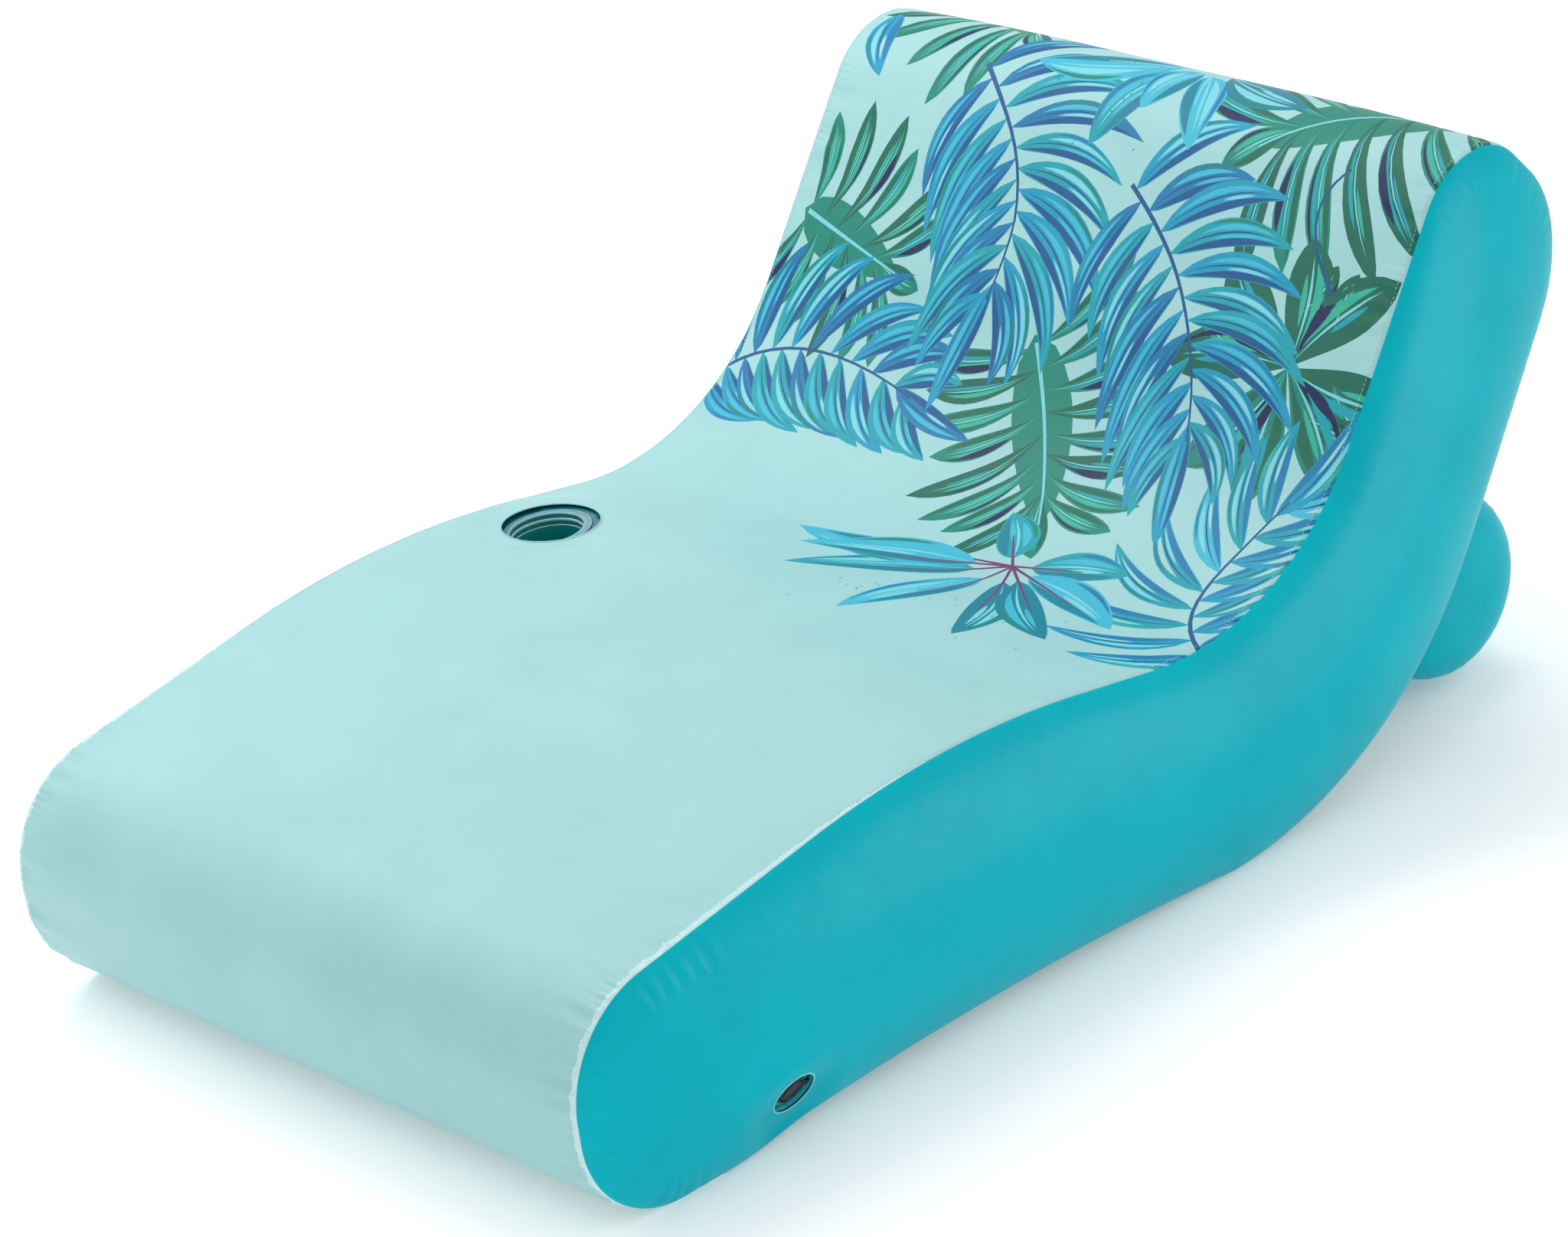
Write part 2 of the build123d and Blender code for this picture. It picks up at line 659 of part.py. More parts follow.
with BuildPart() as bolster_end_left:
    add(bolster_shell.part)
    split(bisect_by=Plane.YZ.offset(-END_SEAM), keep=Keep.BOTTOM)
save(bolster_end_left, "bolster_end_left")

with BuildPart() as bolster_bladder:
    add(bolster_form(BLADDER_OUT))
    add(bolster_form(BLADDER_IN), mode=Mode.SUBTRACT)
    with BuildSketch(BOLSTER_END_PLANE):
        Circle(STEM_R + BASE_WALL + SLEEVE_GAP)
    extrude(amount=CUT_REACH, both=True, mode=Mode.SUBTRACT)
save(bolster_bladder, "bolster_bladder")

TIE_T = 1.0
TIE_W = 34.0
TIE_SHIFT = 14.0
TIE_GAP = 0.3
TIE_SHORT = 20.0
tie_height = BOLSTER_CENTRE[1] + BOLSTER_R + TIE_GAP
with BuildPart() as bolster_tie:
    with BuildSketch(Plane.YZ):
        with Locations((BOLSTER_CENTRE[0] - TIE_SHIFT, tie_height + TIE_T / 2)):
            Rectangle(TIE_W, TIE_T)
    extrude(amount=END_SEAM - TIE_SHORT, both=True)
save(bolster_tie, "bolster_tie")

# ---------------------------------------------------------------- bolster's stem valve
# Heights are from the plane of the bolster's left end, positive going out.
STEM_OUT = 14.0
STEM_IN = -10.0
SHOULDER_R = 7.4
SHOULDER_T = 2.0
SLEEVE_LOW = -14.0
BASE_FLANGE_R = 17.0
STEM_LUG_SIZE = (4.0, 3.6)
STEM_LUG_T = 1.4
STEM_LUG_REACH = 8.6

with BuildPart() as stem_valve_base:
    add(ring(BOLSTER_END_PLANE, STEM_R + BASE_WALL, STEM_R + RUNNING, SLEEVE_LOW, 0.0))
    add(ring(BOLSTER_END_PLANE, BASE_FLANGE_R, STEM_R + BASE_WALL, -BLADDER_OUT, 0.0))
save(stem_valve_base, "stem_valve_base")

with BuildPart() as stem_valve_stem:
    add(ring(BOLSTER_END_PLANE, STEM_R, STEM_BORE_R, STEM_IN, STEM_OUT))
    add(ring(BOLSTER_END_PLANE, SHOULDER_R, STEM_BORE_R, STEM_OUT - SHOULDER_T, STEM_OUT))
    with BuildSketch(BOLSTER_END_PLANE.offset(STEM_OUT - SHOULDER_T)):
        with Locations((0, -STEM_LUG_REACH)):
            Rectangle(STEM_LUG_SIZE[0], STEM_LUG_SIZE[1])
    extrude(amount=STEM_LUG_T)
save(stem_valve_stem, "stem_valve_stem")

# The plug swings on a round bead over the stem's lug.
PLUG_LOW = STEM_OUT + 0.2
PLUG_R = 7.0
PLUG_T = 1.8
NOSE_DEPTH = 3.2
NOSE_TIP_R = STEM_BORE_R - 0.7
NOSE_TOP_R = STEM_BORE_R - 0.1
PLUG_LUG_SIZE = (4.0, 2.6)
PLUG_LUG_REACH = 7.0
PLUG_TAB_SIZE = (5.0, 4.6)
PLUG_TAB_REACH = 8.5
PLUG_LUG_T = 1.2
PLUG_HINGE_R = 8.5
PLUG_HINGE_HEIGHT = 14.1
PLUG_BEAD_R = 0.6
plug_bead_start = BOLSTER_END_PLANE.from_local_coords(
    (-PLUG_LUG_SIZE[0] / 2, -PLUG_HINGE_R, PLUG_HINGE_HEIGHT)
)

with BuildPart() as stem_valve_plug:
    add(
        turned(
            BOLSTER_END_PLANE,
            (0, PLUG_LOW - NOSE_DEPTH),
            (NOSE_TIP_R, PLUG_LOW - NOSE_DEPTH),
            (NOSE_TOP_R, PLUG_LOW),
            (PLUG_R, PLUG_LOW),
            (PLUG_R, PLUG_LOW + PLUG_T),
            (0, PLUG_LOW + PLUG_T),
        )
    )
    with BuildSketch(BOLSTER_END_PLANE.offset(PLUG_LOW)):
        with Locations((0, -PLUG_LUG_REACH)):
            Rectangle(PLUG_LUG_SIZE[0], PLUG_LUG_SIZE[1])
        with Locations((0, PLUG_TAB_REACH)):
            SlotOverall(PLUG_TAB_SIZE[0], PLUG_TAB_SIZE[1])
    extrude(amount=PLUG_LUG_T)
    with BuildSketch(Plane(origin=plug_bead_start, z_dir=BOLSTER_END_PLANE.x_dir)):
        Circle(PLUG_BEAD_R)
    extrude(amount=PLUG_LUG_SIZE[0])
save(stem_valve_plug, "stem_valve_plug")
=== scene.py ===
"""Visual model of the inflatable pool lounger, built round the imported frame, in metres."""

import math
from collections import namedtuple

import bpy
import numpy as np
from mathutils import Matrix, Vector
from mathutils.geometry import delaunay_2d_cdt


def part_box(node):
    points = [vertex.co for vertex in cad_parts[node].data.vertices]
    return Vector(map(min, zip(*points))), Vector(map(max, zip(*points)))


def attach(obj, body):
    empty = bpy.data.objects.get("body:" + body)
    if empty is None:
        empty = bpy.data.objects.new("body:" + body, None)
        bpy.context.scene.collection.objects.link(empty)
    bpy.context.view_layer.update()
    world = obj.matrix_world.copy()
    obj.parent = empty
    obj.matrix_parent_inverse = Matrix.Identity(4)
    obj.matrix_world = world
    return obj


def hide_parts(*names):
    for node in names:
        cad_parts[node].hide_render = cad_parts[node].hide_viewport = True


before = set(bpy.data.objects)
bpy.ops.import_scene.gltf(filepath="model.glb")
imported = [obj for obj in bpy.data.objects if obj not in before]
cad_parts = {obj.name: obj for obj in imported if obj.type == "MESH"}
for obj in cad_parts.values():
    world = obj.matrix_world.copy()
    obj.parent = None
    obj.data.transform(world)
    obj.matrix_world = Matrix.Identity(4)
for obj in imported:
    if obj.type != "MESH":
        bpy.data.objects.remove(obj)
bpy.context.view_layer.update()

# ---- driving sizes
SEAM_X = 0.440
CORNERS = (
    (-0.726, 0.0), (-0.726, 0.238), (-0.210, 0.320), (0.275, 0.2325), (0.568, 0.636),
    (0.655, 0.636), (0.726, 0.553), (0.726, 0.459), (0.407, 0.0),
)
CORNER_RADII = (0.113, 0.122, 1.094, 0.314, 0.100, 0.075, 0.110, 0.160, 0.478)
FOOT_SEAM = (-0.560, 0.0)
CREST_SEAM = (0.690, 0.595)
ZIP_LINE = (0.63475, 0.3277)
TOP_CROWN = 0.010
CROWN_POWER = 4.0
SEAM_LIFT = 0.018
SIDE_BULGE = 0.046
SEAM_STEP = 0.004
BLADDER_DEPTH = 0.0035
SEAM_SINK = 0.0016
FLOOR_CLEARANCE = 0.0002
RIGHT_SEED = 11
LEFT_SEED = 37


def plane_at(origin, across, normal):
    """The matrix of a plane: its origin, its x direction and its normal."""
    z = Vector(normal).normalized()
    y = z.cross(Vector(across)).normalized()
    x = y.cross(z)
    made = Matrix((x, y, z)).transposed().to_4x4()
    made.translation = Vector(origin)
    return made


def axis(place, number):
    """A plane's x, y or z direction."""
    return np.array(place.col[number].xyz)


def columns(*parts):
    """Points from their coordinates, each an array or one number for all."""
    return np.stack(np.broadcast_arrays(*parts), -1)


def turns(count):
    """Evenly spaced angles that go once round."""
    return np.arange(count) * 2 * np.pi / count


CUP_SLOPE = math.radians(3.7)
CUP_OPENING_R = 0.0556
CUP_FLANGE_R = 0.050
CUP_OPENING = plane_at((-0.3415, -0.042, 0.2912), (1, 0, 0), (0, math.sin(CUP_SLOPE), math.cos(CUP_SLOPE)))
CUP = plane_at((-0.343, -0.048, 0.288), (1, 0, 0.03), (-0.03, 0.0, 1.0))
VALVE_TILT = math.radians(30.0)
VALVE_HOLE_R = 0.025
VALVE_Z = 0.0594
VALVE = plane_at(
    (0.430 + VALVE_Z * math.tan(VALVE_TILT), -0.481, VALVE_Z),
    (0, 1, 0),
    (math.cos(VALVE_TILT), 0, -math.sin(VALVE_TILT)),
)
ZIP_NORMAL = (0.0, 0.8212, -0.5707)
ZIP = plane_at((0, *ZIP_LINE), (1, 0, 0), ZIP_NORMAL)


# ---- side outline
def rounded_outline(corners, radii, step=0.0005):
    """Points of a closed outline whose corners are rounded by tangent arcs."""
    corners = [np.array(c) for c in corners]
    arcs = []
    for i, corner in enumerate(corners):
        back = corners[i - 1] - corner
        ahead = corners[(i + 1) % len(corners)] - corner
        back /= np.linalg.norm(back)
        ahead /= np.linalg.norm(ahead)
        turn = math.pi - math.acos(back @ ahead)
        reach = radii[i] * math.tan(turn / 2)
        middle = (back + ahead) / np.linalg.norm(back + ahead)
        centre = corner + middle * radii[i] / math.cos(turn / 2)
        arcs.append((corner + back * reach, corner + ahead * reach, centre, radii[i]))
    points = []
    for i, (start, end, centre, radius) in enumerate(arcs):
        first = math.atan2(*(start - centre)[::-1])
        sweep = math.atan2(*(end - centre)[::-1]) - first
        sweep = (sweep + math.pi) % (2 * math.pi) - math.pi
        count = max(2, int(abs(sweep) * radius / step))
        for k in range(count + 1):
            angle = first + sweep * k / count
            points.append(centre + radius * np.array([math.cos(angle), math.sin(angle)]))
        run = arcs[(i + 1) % len(arcs)][0] - end
        count = int(np.linalg.norm(run) / step)
        points.extend(end + run * k / count for k in range(1, count))
    return np.array(points)


class Outline:
    """The float's side outline, measured along the cloth from the foot seam, over the top."""

    def __init__(self):
        points = rounded_outline(CORNERS, CORNER_RADII)
        start = np.argmin(np.hypot(*(points - FOOT_SEAM).T))
        points = np.roll(points, -start, axis=0)
        self.points = np.vstack([points, points[:1]])
        steps = np.hypot(*np.diff(self.points, axis=0).T)
        self.along = np.concatenate([[0.0], np.cumsum(steps)])
        self.length = self.along[-1]

    def at(self, s):
        """Points (y, z) at distances s."""
        s = np.mod(s, self.length)
        y = np.interp(s, self.along, self.points[:, 0])
        z = np.interp(s, self.along, self.points[:, 1])
        return np.stack([y, z], -1)

    def outward(self, s, reach=0.004):
        """Outward unit normals (y, z) at distances s."""
        run = self.at(s + reach) - self.at(s - reach)
        run /= np.linalg.norm(run, axis=-1, keepdims=True)
        return np.stack([-run[..., 1], run[..., 0]], -1)

    def distance_to(self, point):
        """The distance along the cloth of the outline's point nearest to a point."""
        return self.along[np.argmin(np.hypot(*(self.points - point).T))]


outline = Outline()
S_CREST = outline.distance_to(CREST_SEAM)
S_ZIP = outline.distance_to(ZIP_LINE)
S_END = outline.length


def smooth(value, low, high):
    """0 below low, 1 above high, and a smooth step between."""
    t = np.clip((value - low) / (high - low), 0.0, 1.0)
    return t * t * (3 - 2 * t)


def band(value, low, high, fade):
    """1 between low and high, fading to 0 over fade on each side."""
    return smooth(value, low - fade, low) * (1 - smooth(value, high, high + fade))


def ripple(value, wavelength, seed, terms=7):
    """Smooth repeatable noise along a line, about -1 to 1."""
    rng = np.random.default_rng(seed)
    total = np.zeros_like(value)
    for _ in range(terms):
        wave = wavelength * rng.uniform(0.6, 1.9)
        total = total + rng.uniform(0.5, 1.0) * np.sin(2 * np.pi * value / wave + rng.uniform(0, 7))
    return total / (0.55 * terms)


# ---- cloth surfaces
# A span along the cloth is its start, its end and how far it fades at both.
CROWN_SPAN = (0.30, S_CREST - 0.15, 0.22)
LIFT_SPAN = (S_ZIP + 0.45, S_END - 0.12, 0.12)
ARCH_Y = (-0.60, 0.16)
ARCH_HEIGHT = 0.144
LIFT_POWER = 6
PLAIN_FOLD, FOOT_FOLD, CREST_FOLD = 0.16, 1.45, 0.60
FOOT_SPAN = (0.06, 0.46, 0.10)
CREST_SPAN = (S_CREST - 0.26, S_CREST + 0.20, 0.08)
# The rows of small folds beside a seam: how far each reaches, its wavelength and its height.
FOLD_ROWS = ((0.007, 0.012, 0.0009), (0.018, 0.028, 0.0017))
WEB_LINES = (0.52, 0.67, 0.82, 0.975, 1.19, 1.34, 1.50, 1.62, 1.745)
WEB_SPAN = (0.4, 1.85, 0.06)
WEB_DIP = 0.0012
WEB_DIP_WIDTH = 0.024
# Cloth is drawn fully to an opening's plane inside the first radius, and not at all past the second.
CUP_SETTLE = (0.058, 0.110)
FLANGE_SETTLE = (0.0505, 0.0575)
VALVE_SETTLE = (0.028, 0.075)
VALVE_FORESHORTENING = 0.87
SETTLE_DEPTH = 0.05
SEAM_HOLD = 0.012


def seam_offset(s):
    """How far the side seam stands outside the outline; it lifts off the floor underneath."""
    y = outline.at(s)[..., 0]
    under = band(np.mod(s, S_END), *LIFT_SPAN)
    arch = np.clip((y - ARCH_Y[0]) * (ARCH_Y[1] - y) / ARCH_HEIGHT, 0.0, 1.0)
    return -SEAM_LIFT * under * arch


def middle_offset(s):
    """How far the cloth stands outside the outline midway between the seams."""
    return TOP_CROWN * band(np.mod(s, S_END), *CROWN_SPAN)


def fold_strength(s):
    """How strongly the cloth puckers beside the side seam: most round the foot and the crest."""
    return PLAIN_FOLD + FOOT_FOLD * band(s, *FOOT_SPAN) + CREST_FOLD * band(s, *CREST_SPAN)


def rise_and_fall(gap, reach):
    """0 at a seam, 1 at reach from it, then fading."""
    return gap / reach * np.exp(1 - gap / reach)


def puckers(s, gap, seed):
    """Height of the small folds that run in from a seam, at a distance gap from it."""
    total = 0.0
    for row, (reach, wavelength, height) in enumerate(FOLD_ROWS):
        total = total + ripple(s, wavelength, seed + row) * rise_and_fall(gap, reach) * height
    return fold_strength(s) * total


def web_dips(s):
    """Shallow valleys over the webs that hold the bladder flat."""
    total = np.zeros_like(s)
    for line in WEB_LINES:
        total = total - WEB_DIP * np.exp(-(((s - line) / WEB_DIP_WIDTH) ** 2))
    return total


def wrap(s, x, depth=0.0):
    """Points of the cloth that wraps round the float between the side seams."""
    across = np.clip(np.abs(x) / SEAM_X, 0.0, 1.0)
    rim = across**CROWN_POWER
    height = middle_offset(s) * (1 - rim) + seam_offset(s) * across**LIFT_POWER
    inner = 1 - smooth(across, 0.72, 0.98)
    height = height + web_dips(s) * inner * band(s, *WEB_SPAN)
    gap = SEAM_X - np.abs(x)
    folds = np.where(x > 0, puckers(s, gap, RIGHT_SEED), puckers(s, gap, LEFT_SEED))
    height = height + folds - SEAM_SINK * np.exp(-gap / SEAM_SINK) - depth
    base, out = outline.at(s), outline.outward(s)
    y = base[..., 0] + out[..., 0] * height
    z = base[..., 1] + out[..., 1] * height
    return settle_to_cup(columns(x, y, np.maximum(z, FLOOR_CLEARANCE)), depth)


def settle(points, place, target, near, far):
    """Draws points to a height over a plane: fully inside radius near, not at all past far."""
    centre, normal = np.array(place.translation), np.array(place.col[2].xyz)
    rel = points - centre
    up = rel @ normal
    away = np.linalg.norm(rel - up[..., None] * normal, axis=-1)
    pull = (1 - smooth(away, near, far)) * (np.abs(up) < SETTLE_DEPTH)
    return points + (pull * (target - up))[..., None] * normal


def settle_to_cup(points, depth):
    """Draws the cloth to its opening round the cup, and the bladder to the cup's flange."""
    points = settle(points, CUP_OPENING, 0.0008 - depth, *CUP_SETTLE)
    if depth:
        points = settle(points, CUP, -0.0012, *FLANGE_SETTLE)
    return points


def valve_plane_x(z):
    """Where the plane of the inflation valve is, at a height."""
    return VALVE.translation.x + (z - VALVE.translation.z) * math.tan(VALVE_TILT)


def settle_to_valve(points, gap, depth):
    """Draws a right side panel to the inflation valve's plane round its opening, but not at its seam."""
    rise = (points[:, 2] - VALVE.translation.z) / VALVE_FORESHORTENING
    away = np.hypot(points[:, 1] - VALVE.translation.y, rise)
    pull = (1 - smooth(away, *VALVE_SETTLE)) * smooth(gap, 0.0, SEAM_HOLD)
    level = valve_plane_x(points[:, 2]) + (-0.0022 if depth else 0.0004)
    points[:, 0] += pull * (level - points[:, 0])
    return points


# ---- meshes
def circle(centre, radius, count):
    """A closed flat ring of points."""
    turn = turns(count)
    return columns(centre[0] + radius * np.cos(turn), centre[1] + radius * np.sin(turn))


def inside(points, loop):
    """Which points lie inside a closed loop."""
    hit = np.zeros(len(points), bool)
    px, py = points[:, 0], points[:, 1]
    for (ax, ay), (bx, by) in zip(loop, np.roll(loop, -1, axis=0)):
        if ay == by:
            continue
        crosses = (ay > py) != (by > py)
        hit ^= crosses & (px < (bx - ax) * (py - ay) / (by - ay) + ax)
    return hit


def counter_clockwise(loop):
    """The loop in the order that the triangulation needs."""
    after = np.roll(loop, -1, axis=0)
    area = np.sum(loop[:, 0] * after[:, 1] - after[:, 0] * loop[:, 1])
    return loop if area > 0 else loop[::-1]


def triangulate(border, holes, points, shapes=()):
    """Triangles of a flat cloth with holes; each has the number of the top shape over it, or -1."""
    loops = [counter_clockwise(loop) for loop in (border, *holes, *shapes)]
    coords = np.vstack([*loops, points])
    faces, first = [], 0
    for loop in loops:
        faces.append(list(range(first, first + len(loop))))
        first += len(loop)
    found = delaunay_2d_cdt([Vector(c) for c in coords], [], faces, 1, 1e-6, True)
    verts = np.array([tuple(v) for v in found[0]])
    hole_ids = set(range(1, 1 + len(holes)))
    tris, tops = [], []
    for face, owners in zip(found[2], found[5]):
        if 0 not in owners or hole_ids & set(owners):
            continue
        tris.append(face)
        tops.append(max(owners) - 1 - len(holes) if max(owners) > len(holes) else -1)
    used = np.unique(np.concatenate([np.array(t) for t in tris]))
    renumber = np.full(len(verts), -1)
    renumber[used] = np.arange(len(used))
    return verts[used], [[int(renumber[i]) for i in t] for t in tris], tops


def mesh_object(name, verts, faces, normals=None):
    """A smooth mesh object from arrays."""
    mesh = bpy.data.meshes.new(name)
    mesh.from_pydata([tuple(map(float, v)) for v in verts], [], [list(map(int, f)) for f in faces])
    mesh.polygons.foreach_set("use_smooth", [True] * len(mesh.polygons))
    mesh.update()
    if normals is not None:
        mesh.normals_split_custom_set_from_vertices([tuple(map(float, n)) for n in normals])
    made = bpy.data.objects.new(name, mesh)
    bpy.context.scene.collection.objects.link(made)
    return made


def grid_faces(rows, count, closed=False, flip=False):
    """Faces between neighbouring rows of points; closed rows join their last point to their first."""
    faces = []
    for i in range(rows - 1):
        for j in range(count if closed else count - 1):
            n = (j + 1) % count
            a, b, c, d = (i * count + j, i * count + n, (i + 1) * count + n, (i + 1) * count + j)
            faces.append((a, d, c, b) if flip else (a, b, c, d))
    return faces


def surface_normals(shape, a, b, step=0.0008):
    """Outward normals of a surface given by shape(along, across)."""
    da = shape(a + step, b) - shape(a - step, b)
    db = shape(a, b + step) - shape(a, b - step)
    normal = np.cross(db, da)
    return normal / np.linalg.norm(normal, axis=-1, keepdims=True)


def finish_piece(piece, material, *nodes, slot=None, body="float"):
    """Gives a piece its material, puts it under its body and hides the CAD nodes that it stands for."""
    piece.data.materials.append(material)
    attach(piece, body)
    if nodes:
        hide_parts(*nodes)
    return piece


# ---- materials
def srgb(red, green, blue):
    """A linear colour from display values out of 255."""
    parts = [c / 255 for c in (red, green, blue)]
    return [p / 12.92 if p <= 0.04045 else ((p + 0.055) / 1.055) ** 2.4 for p in parts]


# A wave texture of scale 1 repeats after this length.
WAVE_PERIOD = 0.314
RAMP_STOPS = (0.3, 0.7)


class Shader:
    """A material's node tree with short helpers."""

    def __init__(self, name, rough, coat=0.0, specular=0.5):
        self.material = bpy.data.materials.new(name)
        self.material.use_nodes = True
        self.nodes = self.material.node_tree.nodes
        self.links = self.material.node_tree.links
        self.shader = self.nodes["Principled BSDF"]
        self.shader.inputs["Roughness"].default_value = rough
        self.shader.inputs["Coat Weight"].default_value = coat
        self.shader.inputs["Specular IOR Level"].default_value = specular
        self.place = self.add("TexCoord").outputs["Object"]
        self.bumps = None

    def add(self, kind, values=None, sources=None):
        """A new node, some of its inputs set to values and some linked to sources."""
        node = self.nodes.new(f"ShaderNode{kind}")
        for name, value in (values or {}).items():
            node.inputs[name].default_value = value
        for name, source in (sources or {}).items():
            self.links.new(source, node.inputs[name])
        return node

    def attribute(self, name, output):
        """What the mesh stores under a name."""
        node = self.add("Attribute")
        node.attribute_name = name
        return node.outputs[output]

    def noise(self, scale, detail=3.0):
        """A noise over the object's own space."""
        node = self.add("TexNoise", {"Scale": scale, "Detail": detail}, {"Vector": self.place})
        return node.outputs["Fac"]

    def ramp(self, source, low, high):
        """A colour that goes from low to high with source."""
        node = self.add("ValToRGB", sources={"Fac": source})
        for stop, place, colour in zip(node.color_ramp.elements, RAMP_STOPS, (low, high)):
            stop.position = place
            stop.color = (*colour, 1)
        return node.outputs["Color"]

    def multiply(self, first, second):
        """The product of two colours."""
        node = self.add("Mix")
        node.data_type, node.blend_type = "RGBA", "MULTIPLY"
        node.inputs["Factor"].default_value = 1.0
        self.links.new(first, node.inputs["A"])
        self.links.new(second, node.inputs["B"])
        return node.outputs["Result"]

    def paint(self, colour):
        """Sets the surface's colour from a socket."""
        self.links.new(colour, self.shader.inputs["Base Color"])

    def vary_roughness(self, low, high, scale):
        """Roughness that wanders between two values."""
        node = self.add("MapRange", {"To Min": low, "To Max": high}, {"Value": self.noise(scale)})
        self.links.new(node.outputs["Result"], self.shader.inputs["Roughness"])

    def bump(self, height, strength, distance):
        """Adds a bump on top of the earlier ones."""
        node = self.add("Bump", {"Strength": strength, "Distance": distance}, {"Height": height})
        if self.bumps:
            self.links.new(self.bumps, node.inputs["Normal"])
        self.bumps = node.outputs["Normal"]
        self.links.new(self.bumps, self.shader.inputs["Normal"])

    def weave(self, spacing, strength):
        """Bump of the cloth's two thread directions, along the cloth attribute's axes."""
        cloth = self.attribute("cloth", "Vector")
        for way in ("X", "Y"):
            values = {"Scale": WAVE_PERIOD / spacing, "Distortion": 0.6}
            wave = self.add("TexWave", values, {"Vector": cloth})
            wave.bands_direction = way
            self.bump(wave.outputs["Fac"], strength, 0.0004)


def cloth_material(name, dark, light, printed=False, rough=0.5, specular=0.4):
    """Woven polyester: mottled colour, soft wrinkles and a fine weave, printed if asked."""
    made = Shader(name, rough, specular=specular)
    mottle = made.ramp(made.noise(9.0), dark, light)
    if printed:
        mottle = made.multiply(made.attribute("print", "Color"), mottle)
    made.paint(mottle)
    made.vary_roughness(rough - 0.06, rough + 0.06, scale=40.0)
    made.bump(made.noise(22.0, detail=2.0), strength=0.35, distance=0.0012)
    made.bump(made.noise(90.0, detail=2.0), strength=0.25, distance=0.0003)
    made.weave(spacing=0.0012, strength=0.18)
    return made.material


def vinyl_material(name, dark, light, rough=0.30):
    """Smooth soft vinyl with a faint calendered grain and uneven gloss."""
    made = Shader(name, rough, coat=0.25)
    made.paint(made.ramp(made.noise(14.0), dark, light))
    made.vary_roughness(rough - 0.05, rough + 0.08, scale=30.0)
    made.bump(made.noise(220.0, detail=2.0), strength=0.25, distance=0.0002)
    return made.material


def moulded_material(name, dark, light, rough=0.38, specular=0.5):
    """Moulded plastic with a fine grain and worn, slightly duller patches."""
    made = Shader(name, rough, specular=specular)
    made.paint(made.ramp(made.noise(60.0), dark, light))
    made.vary_roughness(rough - 0.06, rough + 0.10, scale=120.0)
    made.bump(made.noise(900.0, detail=1.0), strength=0.2, distance=0.0001)
    return made.material


def clear_material(name, tint):
    """Clear soft vinyl, a little cloudy."""
    made = Shader(name, 0.18, coat=0.2)
    made.paint(made.ramp(made.noise(80.0), [0.86 * c for c in tint], tint))
    made.shader.inputs["Transmission Weight"].default_value = 0.75
    made.shader.inputs["IOR"].default_value = 1.45
    made.bump(made.noise(150.0), strength=0.15, distance=0.0002)
    return made.material


WHITE = (1.0, 1.0, 1.0)
OFF_WHITE = (0.93, 0.94, 0.95)
PRINTED = cloth_material("printed_fabric", OFF_WHITE, WHITE, printed=True, rough=0.40, specular=0.28)
AQUA = cloth_material("aqua_fabric", srgb(148, 197, 198), srgb(156, 205, 206), rough=0.40, specular=0.28)
TEAL = cloth_material("teal_fabric", srgb(0, 169, 185), srgb(0, 178, 193), rough=0.31, specular=0.07)
UNDER = cloth_material("underside_fabric", srgb(40, 150, 160), srgb(56, 164, 172))
BLADDER = vinyl_material("teal_vinyl", srgb(0, 96, 108), srgb(6, 112, 122))
WELL = vinyl_material("cup_vinyl", srgb(0, 132, 132), srgb(4, 146, 146), rough=0.34)
FLANGE = vinyl_material("flange_vinyl", srgb(104, 146, 162), srgb(122, 164, 178), rough=0.4)
# Pale vinyl for the cup neck's beads: a painted highlight of light reflecting on the neck's ribs.
HIGHLIGHT_BEAD = vinyl_material("bead_painted_highlight", srgb(160, 198, 206), srgb(184, 214, 220), rough=0.3)
VALVE_VINYL = vinyl_material("valve_vinyl", srgb(20, 168, 178), srgb(40, 184, 192))
VALVE_PLASTIC = moulded_material("valve_moulding", srgb(0, 140, 152), srgb(16, 158, 168))
BLACK = moulded_material("black_moulding", srgb(10, 16, 30), srgb(24, 34, 54), rough=0.36, specular=0.2)
RUBBER = moulded_material("seal_rubber", srgb(26, 30, 34), srgb(40, 45, 50), rough=0.6)
CLEAR = clear_material("clear_vinyl", (0.86, 0.93, 0.95))
TAPE = cloth_material("zip_tape", srgb(0, 120, 134), srgb(8, 138, 150), rough=0.8)
TEETH = moulded_material("zip_coil", srgb(6, 104, 118), srgb(14, 124, 138), rough=0.42)
ZIP_PLASTIC = moulded_material("zip_moulding", srgb(10, 82, 96), srgb(18, 98, 112), rough=0.3)
THREAD = cloth_material("thread", srgb(190, 224, 228), srgb(214, 238, 240), rough=0.6)
# The valve hem's cloth is paler than the teal side: a painted highlight along the rim of the valve's
# opening.
HEM_HIGHLIGHT = cloth_material("hem_painted_highlight", srgb(96, 198, 206), srgb(120, 210, 216), rough=0.5)


# ---- printed leaves
PALETTE = {
    "ground": srgb(156, 205, 206),
    "edge": srgb(196, 231, 233),
    "pale": srgb(118, 204, 214),
    "sky": srgb(54, 178, 204),
    "bright": srgb(0, 148, 184),
    "blue": srgb(0, 118, 168),
    "deep": srgb(0, 82, 136),
    "navy": srgb(0, 26, 78),
    "mint": srgb(42, 172, 146),
    "leaf": srgb(0, 128, 110),
    "forest": srgb(0, 100, 80),
    "teal": srgb(0, 154, 168),
    "lagoon": srgb(0, 124, 146),
    "plum": srgb(112, 52, 104),
}


